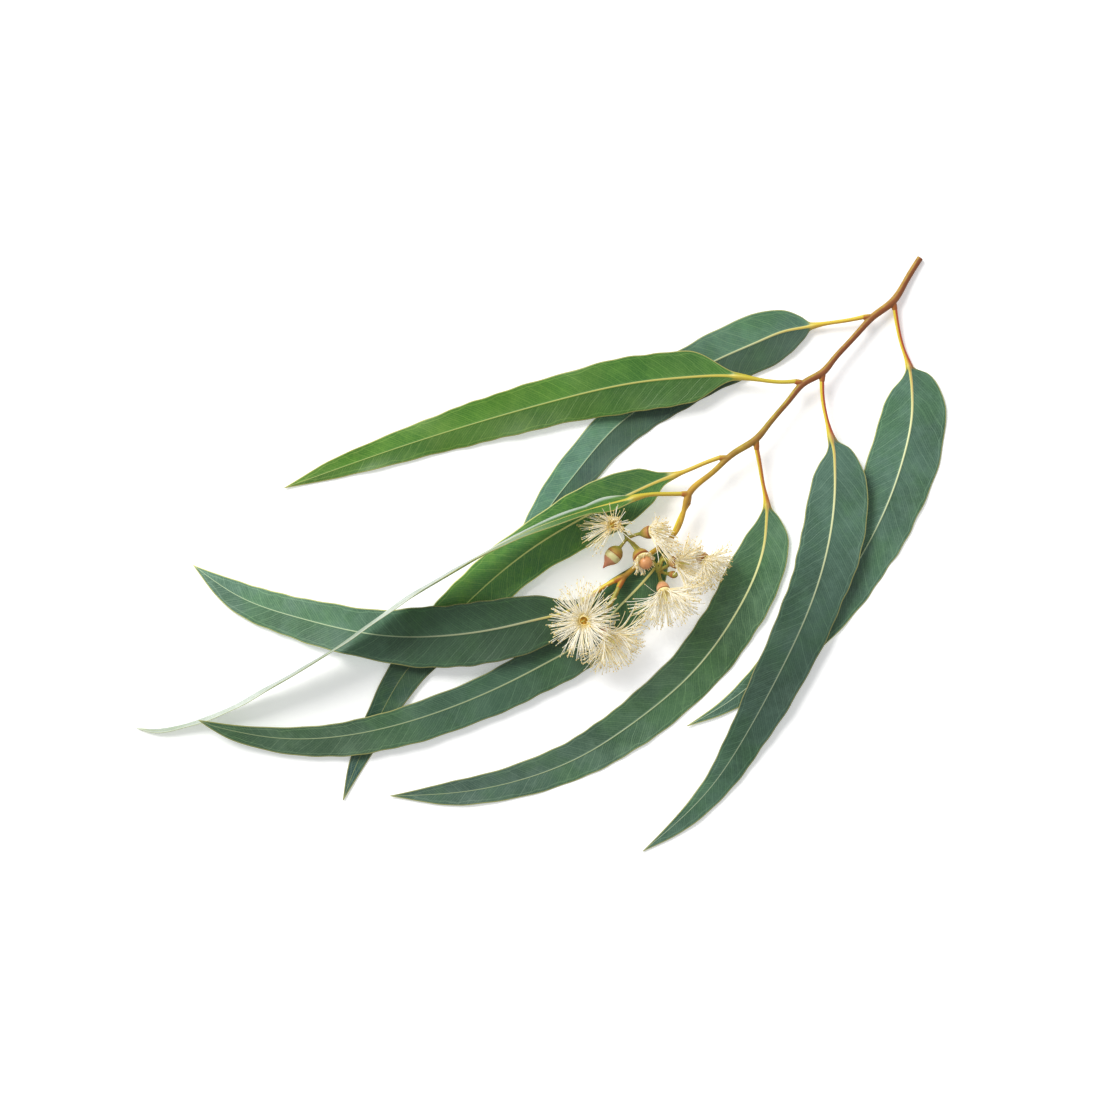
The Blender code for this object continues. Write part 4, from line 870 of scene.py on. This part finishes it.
def greenTwig():
    # Young eucalypt bark, smooth and waxy: olive-yellow in shade, red-brown where the sun reached it.
    material, tree = newMaterial("youngSmoothBark")
    add = partial(addNode, tree)
    where = add("TexCoord", output="Object")
    blush, share, cut, knot, away = [
        add("Attribute", output="Fac", attribute_name=key) for key in ("blush", "share", "cut", "knot", "away")
    ]
    patch = add("TexNoise", where, perMetre(3.846), 3.0, 0.6)  # patches 3 to 4 mm long
    speck = add("TexNoise", where, perMetre(0.5263), 2.0, 0.7)  # corky specks of half a millimetre
    cells = add("TexNoise", where, perMetre(1.111), 2.0)  # uneven wood of the cut, 1 mm
    patchy = add("MapRange", patch, 0.35, 0.65)
    tan, olive, yellow = [
        add("Mix", patchy, linearColour(pale), linearColour(dark)) for pale, dark in barkTones.values()
    ]
    shade = add("Mix", add("MapRange", share, 0.25, 0.5), tan, olive)
    shade = add("Mix", add("MapRange", share, 0.6, 0.72), shade, yellow)
    red = add("Mix", add("MapRange", share, 0.55, 0.75), linearColour("#844a2b"), linearColour("#a4562a"))
    uneven = add("Math", patch, 0.5, operation="SUBTRACT")
    sunny = add("Math", uneven, 0.9, blush, operation="MULTIPLY_ADD", use_clamp=True)
    fading = add("MapRange", share, 0.4, 0.62, 0.95, 0.28)
    stalkTone = add("Mix", blush, linearColour("#cdb136"), linearColour("#ab5f2e"))
    pith = add("Mix", add("MapRange", cells, 0.4, 0.6), linearColour("#c9a878"), linearColour("#a98557"))
    coats = [
        (add("Math", add("MapRange", sunny, 0.25, 0.85), fading, operation="MULTIPLY"), red),
        (add("Math", knot, 0.5, operation="MULTIPLY"), linearColour("#8c5a35")),
        (add("Math", away, 0.8, operation="MULTIPLY"), stalkTone),
        (add("MapRange", speck, 0.62, 0.75, 0.0, 0.45), linearColour("#6d4526")),
        (cut, pith),
    ]
    for amount, colour in coats:
        shade = add("Mix", amount, shade, colour)
    relief = add("Math", patch, 0.6, speck, operation="MULTIPLY_ADD")
    fillShader(tree, {
        "Base Color": shade,
        "Roughness": add("MapRange", speck, 0.3, 0.7, 0.45, 0.62),
        "Normal": add("Bump", 0.5, 0.00012, None, relief),
        "Specular IOR Level": 0.3,
    })
    return material


bark = greenTwig()
addPiece("fine_twig", twigMesh, bark, "twig")
print("stage 4: twig,", len(twigMesh.polygons), "faces")


def cupSkin():
    # Flower stalks and cups: leathery green skin that turns tan, peach or brown at the rim.
    material, tree = newMaterial("leatheryCupSkin")
    add = partial(addNode, tree)
    where = add("TexCoord", output="Object")
    rise, peach, rimBrown, blush = [
        add("Attribute", output="Fac", attribute_name=key) for key in ("cup", "peach", "rimBrown", "blush")
    ]
    patch = add("TexNoise", where, perMetre(2.381), 3.0, 0.6)
    speck = add("TexNoise", where, perMetre(0.4167), 2.0, 0.7)
    patchy = add("MapRange", patch, 0.35, 0.65)
    skin = add("Mix", patchy, linearColour("#a8a23f"), linearColour("#8c8a35"))
    coats = [
        (
            add("MapRange", rise, 0.1, 0.9),
            add("Mix", add("MapRange", patch, 0.3, 0.7), linearColour("#b3953f"), linearColour("#a8763c")),
        ),
        (peach, add("Mix", patchy, linearColour("#e8bb90"), linearColour("#d89c6c"))),
        (rimBrown, linearColour("#9c5a34")),
        (add("Math", blush, 0.35, operation="MULTIPLY"), linearColour("#9a5230")),
        (add("MapRange", speck, 0.6, 0.78, 0.0, 0.4), linearColour("#7a4a26")),
    ]
    for amount, colour in coats:
        skin = add("Mix", amount, skin, colour)
    fillShader(tree, {
        "Base Color": skin,
        "Roughness": add("MapRange", patch, 0.3, 0.7, 0.4, 0.55),
        "Normal": add("Bump", 0.4, 0.0001, None, speck),
    })
    return material


cupFinish = cupSkin()
solidShapes = [leafShapes[name] for name in leaves] + [stem(twig["rows"], 12, 160)]
for name, bunch in umbels.items():
    middle = bunch["stem"][-1][:3]
    parts = [stem(bunch["stem"], 24, 28)]
    knobProfile = [(-1.0, 0.0), (-0.7, 0.75), (0.0, 1.05), (0.7, 0.75), (1.0, 0.0)]
    parts.append(turnedShape(middle, (0.2, 0.1, 1.0), knobProfile, 24))
    for flowerName in bunch["flowers"]:
        flower = flowers[flowerName]
        parts += [flowerStalk(middle, cupBase(flower), flower["way"]), cupShape(flower)]
    for budName in bunch["buds"]:
        bud = buds[budName]
        parts += [flowerStalk(middle, bud["base"], bud["way"], 0.55), budCup(bud)]
    if "small" in bunch["buds"]:
        parts.append(budKnob(buds["small"]))
    solidShapes += parts
    mesh, spots, normals = melted("fine_" + name, parts, 0.13, 3)
    cupMark, peachMark, rimMark = np.zeros(len(spots)), np.zeros(len(spots)), np.zeros(len(spots))
    ends = []
    for flower in [flowers[key] for key in bunch["flowers"]]:
        ends.append((cupBase(flower), flower["way"], cup["length"], cup["rim"], flower["peach"]))
    for bud in [buds[key] for key in bunch["buds"]]:
        ends.append((bud["base"], bud["way"], bud["length"], bud["radius"], 0.0))
    for base, way, long, wide, peach in ends:
        reachUp = (spots - np.array(base)) @ unit(way)
        aside = np.linalg.norm(spots - np.array(base) - reachUp[:, None] * unit(way), axis=1)
        inside = (reachUp > -0.6) & (reachUp < long + 0.5) & (aside < wide + 0.4)
        cupMark = np.where(inside, np.clip(reachUp / long, 0.0, 1.0), cupMark)
        peachMark = np.where(inside, peach * smoothStep(0.1, 0.6, reachUp / long), peachMark)
        rimMark = np.where(inside, smoothStep(0.86, 0.97, reachUp / long) * (0.8 - 0.7 * peach), rimMark)
    setMark(mesh, "cup", cupMark)
    setMark(mesh, "peach", peachMark)
    setMark(mesh, "rimBrown", rimMark)
    setMark(mesh, "blush", smoothStep(-0.2, 0.6, normals @ blushWay))
    addPiece("fine_" + name, mesh, cupFinish, name)
print("stage 5: bunches")


# Bud caps

def capSkin(name, cap):
    # A waxy cap: one colour below the line at change, another above it, and a darker tip.
    material, tree = newMaterial(name)
    add = partial(addNode, tree)
    where = add("TexCoord", output="Object")
    height = add("Attribute", output="Fac", attribute_name="height")
    patch = add("TexNoise", where, perMetre(1.923), 3.0, 0.6)
    speck = add("TexNoise", where, perMetre(0.3846), 2.0, 0.7)
    shifted = add("Math", patch, 0.9, height, operation="MULTIPLY_ADD")
    low, high, tip = [linearColour(cap[key]) for key in ("low", "high", "tip")]
    change = cap["change"]
    skin = add("Mix", add("MapRange", shifted, change + 0.35, change + 0.75), low, high)
    coats = [
        (add("MapRange", patch, 0.45, 0.7, 0.0, 0.35), tip),
        (add("MapRange", shifted, change + 2.2, change + 4.4), tip),
        (add("MapRange", speck, 0.62, 0.8, 0.0, 0.3), linearColour("#8a5230")),
    ]
    for amount, colour in coats:
        skin = add("Mix", amount, skin, colour)
    fillShader(tree, {
        "Base Color": skin,
        "Roughness": add("MapRange", patch, 0.3, 0.7, 0.36, 0.5),
        "Normal": add("Bump", 0.3, 0.0001, None, speck),
    })
    return material


caps = {  # profile: height and radius in mm; change: height in mm where the colour changes
    "bud_cap_1": {  # pointed: pale green band, pink-brown cone and a beak
        "bud": "pointed", "start": 0.0, "lean": (0.0, 0.0, 0.0), "low": "#cfc98c", "high": "#b97f5e",
        "tip": "#a05c42", "change": 2.1,
        "profile": [
            (0.0, 0.0), (0.0, 2.93), (0.15, 3.0), (1.4, 2.85), (2.6, 2.3), (3.8, 1.35), (4.8, 0.7), (5.7, 0.32),
            (6.15, 0.12), (6.2, 0.0),
        ],
    },
    "bud_cap_2": {  # blunt and tan, tipped to one side as it comes off
        "bud": "opening", "start": 1.5, "lean": (0.25, -0.2, 0.0), "low": "#cf9a62", "high": "#d19560",
        "tip": "#b56c3c", "change": 0.2,
        "profile": [
            (0.0, 0.0), (0.0, 2.1), (0.12, 2.3), (0.5, 2.35), (1.4, 2.25), (2.3, 1.75), (2.9, 1.0), (3.2, 0.4),
            (3.35, 0.12), (3.4, 0.0),
        ],
    },
}
for name, cap in caps.items():
    bud = buds[cap["bud"]]
    foot = np.array(bud["base"]) + unit(bud["way"]) * (bud["length"] + cap["start"]) + np.array(cap["lean"])
    body = turnedShape(foot, unit(bud["way"]) + 0.15 * np.array(cap["lean"]), cap["profile"], 48, steps=60)
    solidShapes.append(body)
    finish = capSkin(name + "_wax", cap)
    addPiece("fine_" + name, meshOf("fine_" + name, body), finish, name)
print("stage 6: bud caps")


# Stamens

def brushSkin():
    # Filaments are translucent cream threads, anthers are grains of tan pollen, the heart is amber nectar.
    material, tree = newMaterial("creamStamens")
    add = partial(addNode, tree)
    where = add("TexCoord", output="Object")
    tone, tip, anther, heart, style = [
        add("Attribute", output="Fac", attribute_name=key) for key in ("tone", "tip", "anther", "heart", "style")
    ]
    clots = add("MapRange", add("TexNoise", where, perMetre(1.111), 2.0, 0.6), 0.4, 0.62)
    skin = add("Mix", add("MapRange", tip, 0.0, 0.3), linearColour("#eadb9c"), linearColour("#fbf6e6"))
    coats = [
        (add("MapRange", tone, 0.6, 1.0, 0.0, 0.75), linearColour("#f0dc98")),
        (anther, add("Mix", tone, linearColour("#eee0a8"), linearColour("#d6b970"))),
        (heart, add("Mix", clots, linearColour("#c79526"), linearColour("#8a6214"))),
        (style, linearColour("#c9c46a")),
    ]
    for amount, colour in coats:
        skin = add("Mix", amount, skin, colour)
    fillShader(tree, {
        "Base Color": skin,
        "Emission Color": skin,  # stands in for light that passes through the threads
        "Emission Strength": 0.12,
        "Roughness": 0.55,
        "Specular IOR Level": 0.3,
    })
    return material


brushFinish = brushSkin()
brush = {
    "thick": 0.15, "thin": 0.1, "points": 9, "antherLong": 0.3, "antherWide": 0.21,
    "turnStep": 2.399963,  # the golden angle, so that threads spread evenly
    "coreProfile": [
        (-0.35, 0.0), (-0.35, 1.3), (0.25, 1.35), (0.3, 2.15), (0.55, 2.2), (0.95, 2.0), (1.3, 1.7), (1.38, 1.5),
        (1.2, 1.3), (0.75, 1.05), (0.55, 0.6), (0.6, 0.3), (0.9, 0.2), (4.4, 0.16), (4.75, 0.22), (4.9, 0.1),
        (4.95, 0.0),
    ],
}
blockPoints = joined(solidShapes)
blockTree = BVHTree.FromPolygons(
    blockPoints["points"].tolist(), blockPoints["quads"].tolist() + blockPoints["tris"].tolist()
)


def clearShare(paths):
    # Share of each path that is walked before it meets a leaf, stalk, cup or cap.
    walked = np.ones(len(paths))
    for i, path in enumerate(paths):
        for k in range(1, len(path) - 1):
            a, b = Vector(path[k]), Vector(path[k + 1])
            step = b - a
            hit = blockTree.ray_cast(a, step.normalized(), step.length + 0.35)
            if hit[0] is not None:
                walked[i] = max(0.0, (k - 0.4) / (len(path) - 1))
                break
    return walked


def threads(paths, radius, **marks):
    # Each path gets a three-sided tube: ring = p + r (cos a · n + sin a · b), ends closed.
    count, steps = paths.shape[:2]
    tangent = unit(np.gradient(paths, axis=1))
    helper = unit(np.cross(tangent[:, 0], np.array([0.31, 0.52, 0.8])))
    first = unit(helper[:, None] - tangent * np.sum(helper[:, None] * tangent, axis=2, keepdims=True))
    second = np.cross(tangent, first)
    turn = np.array([0.0, 2.0, 4.0]) * math.pi / 3.0
    ring = np.cos(turn)[:, None] * first[:, :, None] + np.sin(turn)[:, None] * second[:, :, None]
    points = paths[:, :, None] + radius[None, :, None, None] * ring
    quads = gridQuads(steps, 3)
    starts = np.arange(count) * steps * 3
    quads = (quads[None] + starts[:, None, None]).reshape(-1, 4)
    last = (steps - 1) * 3
    caps = np.array([[2, 1, 0], [last, last + 1, last + 2]])
    tris = (caps[None] + starts[:, None, None]).reshape(-1, 3)
    tip = np.broadcast_to(np.linspace(0.0, 1.0, steps)[None, :, None], (count, steps, 3)).reshape(-1)
    spread = {key: np.repeat(value, steps * 3) for key, value in marks.items()}
    return shape(points, quads, tris, tip=tip, **spread)


def grains(spots, ways, long, wide, **marks):
    # One small two-lobed anther a thread: a stretched ball of two rings of five and two poles.
    count = len(spots)
    side = unit(np.cross(ways, np.array([0.42, 0.71, 0.56])))
    cross = np.cross(ways, side)
    turn = np.arange(5) * 2.0 * math.pi / 5.0
    circle = 1.25 * np.cos(turn)[None, :, None] * side[:, None] + 0.8 * np.sin(turn)[None, :, None] * cross[:, None]
    rings = [
        spots[:, None] + ways[:, None] * (long * z)[:, None, None] + (wide * r)[:, None, None] * circle
        for z, r in [(-0.45, 0.85), (0.45, 0.8)]
    ]
    poles = [(spots - ways * long[:, None])[:, None], (spots + ways * long[:, None])[:, None]]
    points = np.concatenate([*rings, *poles], axis=1)
    j = np.arange(5)
    k = (j + 1) % 5
    quads = np.stack([j, k, 5 + k, 5 + j], axis=1)
    starts = (np.arange(count) * 12)[:, None, None]
    spread = {key: np.repeat(value, 12) for key, value in marks.items()}
    return shape(
        points, (quads[None] + starts).reshape(-1, 4), (endFans(2, 5)[None] + starts).reshape(-1, 3),
        anther=1.0, **spread,
    )


def brushShapes(root, out, axis, lean, reach, rng, crook=0.1):
    # Threads as quadratic curves: root, root + a step along the axis and outwards, root + reach · lean direction,
    # plus a sideways sine of crook · reach.
    count = len(root)
    target = axis * np.cos(lean)[:, None] + out * np.sin(lean)[:, None]
    lift = unit(axis * 0.75 + out * 0.65)
    tip = root + target * reach[:, None]
    bend = root + lift * (0.42 * reach)[:, None]
    u = np.linspace(0.0, 1.0, brush["points"])[None, :, None]
    paths = (1 - u) ** 2 * root[:, None] + 2 * u * (1 - u) * bend[:, None] + u**2 * tip[:, None]
    sway = unit(rng.normal(size=(count, 3)))
    wobble = crook * reach * rng.uniform(-1.0, 1.0, count)
    phase = rng.uniform(0.7, 1.5, count)
    wave = np.sin(math.pi * phase[:, None] * np.linspace(0.0, 1.0, brush["points"])[None]) * wobble[:, None]
    return paths + wave[:, :, None] * sway[:, None]


def brushBody(core, paths, tone, rng):
    # The core with its threads and an anther at the end of each, every one turned and sized by chance.
    ways = unit(unit(paths[:, -1] - paths[:, -2]) + 0.5 * rng.normal(size=(len(paths), 3)))
    size = rng.uniform(0.8, 1.2, len(paths))
    radius = np.linspace(brush["thick"], brush["thin"], brush["points"])
    long, wide = brush["antherLong"] * size, brush["antherWide"] * size
    return joined([core, threads(paths, radius, tone=tone), grains(paths[:, -1], ways, long, wide, tone=tone)])


def flowerBrush(flower, seed):
    # Threads stand in rows round the rim; outer rows lean right out and inner rows stand up.
    rng = np.random.default_rng(seed)
    axis, first, second = frameOf(flower["way"])
    rim = np.array(flower["rim"], float)
    count = flower["count"]
    row = rng.uniform(0.0, 1.0, count) * flower.get("rows", 1.0)
    turn = (np.arange(count) * brush["turnStep"] + rng.uniform(-0.12, 0.12, count)) % (2.0 * math.pi)
    out = np.cos(turn)[:, None] * first + np.sin(turn)[:, None] * second
    radius = 2.15 - 0.6 * row
    height = 0.45 + 0.85 * row
    root = rim + axis * height[:, None] + out * radius[:, None]
    stray = rng.normal(0.0, 1.0, count) * np.where(rng.uniform(size=count) < 0.12, 24.0, 9.0)
    lean = np.radians((88.0 - 60.0 * row**1.2 + stray) * flower["open"])
    sideways = out @ unit(flower["long"][:2] + (0.0,))
    sideways = np.abs(sideways) if "endwise" in flower else sideways
    swing = np.radians(rng.normal(0.0, 9.0, count))
    side = np.cross(axis, out)
    out = out * np.cos(swing)[:, None] + side * np.sin(swing)[:, None]
    reach = flower["reach"] * (1.04 - 0.22 * row) * rng.uniform(0.8, 1.14, count)
    reach = reach * (1.0 + flower["long"][2] * sideways)
    curled = rng.uniform(size=count) < flower["inner"] * (1.0 - 0.6 * sideways)  # short ones that bend inwards
    reach = np.where(curled, flower["reach"] * rng.uniform(0.26, 0.5, count), reach)
    lean = np.where(curled, np.radians(rng.uniform(-8.0, 45.0, count)), lean)
    paths = brushShapes(root, out, unit(flower.get("aim", flower["way"])), lean, reach, rng)
    paths[:, :, 2] = np.maximum(paths[:, :, 2], 0.35)  # threads that reach the ground lie on it
    share = clearShare(paths)
    keep = share > 0.5
    if "bald" in flower:  # a side with few threads, where the cup shows
        keep &= (out @ unit(flower["bald"]) < flower["baldFrom"]) | (rng.uniform(size=count) < 0.1)
    paths, share = paths[keep], share[keep]
    at = np.linspace(0.0, 1.0, brush["points"])[None] * share[:, None] * (brush["points"] - 1)
    low = np.minimum(at.astype(int), brush["points"] - 2)
    mixIn = (at - low)[:, :, None]
    line = np.arange(len(paths))[:, None]
    paths = paths[line, low] * (1.0 - mixIn) + paths[line, low + 1] * mixIn
    tone = np.clip(rng.uniform(0.0, 1.0, len(paths)) + flower["gold"], 0.0, 1.0)
    core = turnedShape(rim, flower["way"], brush["coreProfile"], 28, tone=0.4)
    height = core["marks"]["height"]
    aside = np.linalg.norm(core["points"] - rim - height[:, None] * axis, axis=1)
    inHeart = (aside < 1.7) & (height < 1.35) & (height > 0.1)
    core["marks"]["heart"] = inHeart.astype(float) * max(0.35, flower["heart"])
    core["marks"]["style"] = ((aside < 0.35) & (height > 0.7)).astype(float)
    core["marks"].pop("height")
    return brushBody(core, paths, tone, rng)


for seed, (name, flower) in enumerate(flowers.items()):
    body = flowerBrush(flower, seed + 3)
    addPiece("fine_" + name, meshOf("fine_" + name, body), brushFinish, name)

opening = {"count": 90, "reach": 3.6, "radius": 2.6, "start": 0.3}
rng = np.random.default_rng(41)
axis, first, second = frameOf(buds["opening"]["way"])
base = np.array(buds["opening"]["base"]) + axis * (buds["opening"]["length"] + opening["start"])
turn = rng.uniform(0.0, 2.0 * math.pi, opening["count"])
out = np.cos(turn)[:, None] * first + np.sin(turn)[:, None] * second
lowSide = out @ unit([-0.1, -1.0, 0.0])  # most of them push out on the lower side of the cap
root = base + out * opening["radius"] + axis * 0.4
lean = np.radians(rng.uniform(8.0, 60.0, opening["count"]))
reach = opening["reach"] * rng.uniform(0.6, 1.1, opening["count"]) * (0.72 + 0.38 * lowSide)
paths = brushShapes(root, out, axis, lean, reach, rng, 0.16)
tone = rng.uniform(0.0, 1.0, opening["count"])
collarProfile = [(0.0, 0.0), (0.0, 2.7), (0.35, 2.95), (0.9, 2.85), (1.15, 2.3), (1.2, 0.0)]
collar = turnedShape(base, axis, collarProfile, 32, tone=0.4)
collar["marks"].pop("height")
body = brushBody(collar, paths, tone, rng)
addPiece("fine_stamens_8", meshOf("fine_stamens_8", body), brushFinish, "stamens_8")
print("stage 7: stamens")


# Floor, light and camera
studio = {
    "floorSize": 3.0, "floorDrop": 0.00004, "floorGlow": 0.26, "keySpot": (-1.35, 1.5, 1.98), "keySize": 1.5,
    "keyPower": 78.0,
    "sky": 0.5, "cameraHeight": 1.4, "frameWidth": 0.392, "sensor": 36.0, "aim": (0.0063, -0.0021),
}
floorMesh = bpy.data.meshes.new("floor")
halfFloor = studio["floorSize"] / 2
floorCorners = [(-halfFloor, -halfFloor), (halfFloor, -halfFloor), (halfFloor, halfFloor), (-halfFloor, halfFloor)]
floorMesh.from_pydata([(x, y, -studio["floorDrop"]) for x, y in floorCorners], [], [(0, 1, 2, 3)])
floor = bpy.data.objects.new("floor", floorMesh)
bpy.context.scene.collection.objects.link(floor)
paper, paperTree = newMaterial("whiteStudioPaper")  # matt white sheet
fillShader(paperTree, {
    "Base Color": linearColour("#fafafa"),
    "Emission Color": (1.0, 1.0, 1.0, 1.0),
    "Emission Strength": studio["floorGlow"],
    "Roughness": 0.9,
    "Specular IOR Level": 0.1,
})
floorMesh.materials.append(paper)

keyLight = bpy.data.lights.new("windowLight", "AREA")
keyLight.shape = "DISK"
keyLight.size = studio["keySize"]
keyLight.energy = studio["keyPower"]
keyLight.color = (1.0, 0.985, 0.96)
key = bpy.data.objects.new("windowLight", keyLight)
key.location = studio["keySpot"]
key.rotation_euler = (-Vector(studio["keySpot"])).to_track_quat("-Z", "Y").to_euler()
bpy.context.scene.collection.objects.link(key)

world = bpy.data.worlds.new("softRoom")
world.use_nodes = True
world.node_tree.nodes["Background"].inputs["Color"].default_value = (0.97, 0.985, 1.0, 1.0)
world.node_tree.nodes["Background"].inputs["Strength"].default_value = studio["sky"]
bpy.context.scene.world = world

lens = bpy.data.cameras.new("overhead")
lens.sensor_width = studio["sensor"]
lens.lens = studio["sensor"] * studio["cameraHeight"] / studio["frameWidth"]
lens.clip_start, lens.clip_end = 0.05, 10.0
camera = bpy.data.objects.new("overhead", lens)
aim = np.array([*studio["aim"], 0.0]) + centreShift * mm
camera.location = (aim[0], aim[1], studio["cameraHeight"])
bpy.context.scene.collection.objects.link(camera)
bpy.context.scene.camera = camera
bpy.context.scene.view_settings.view_transform = "Standard"
print("stage 8: studio")
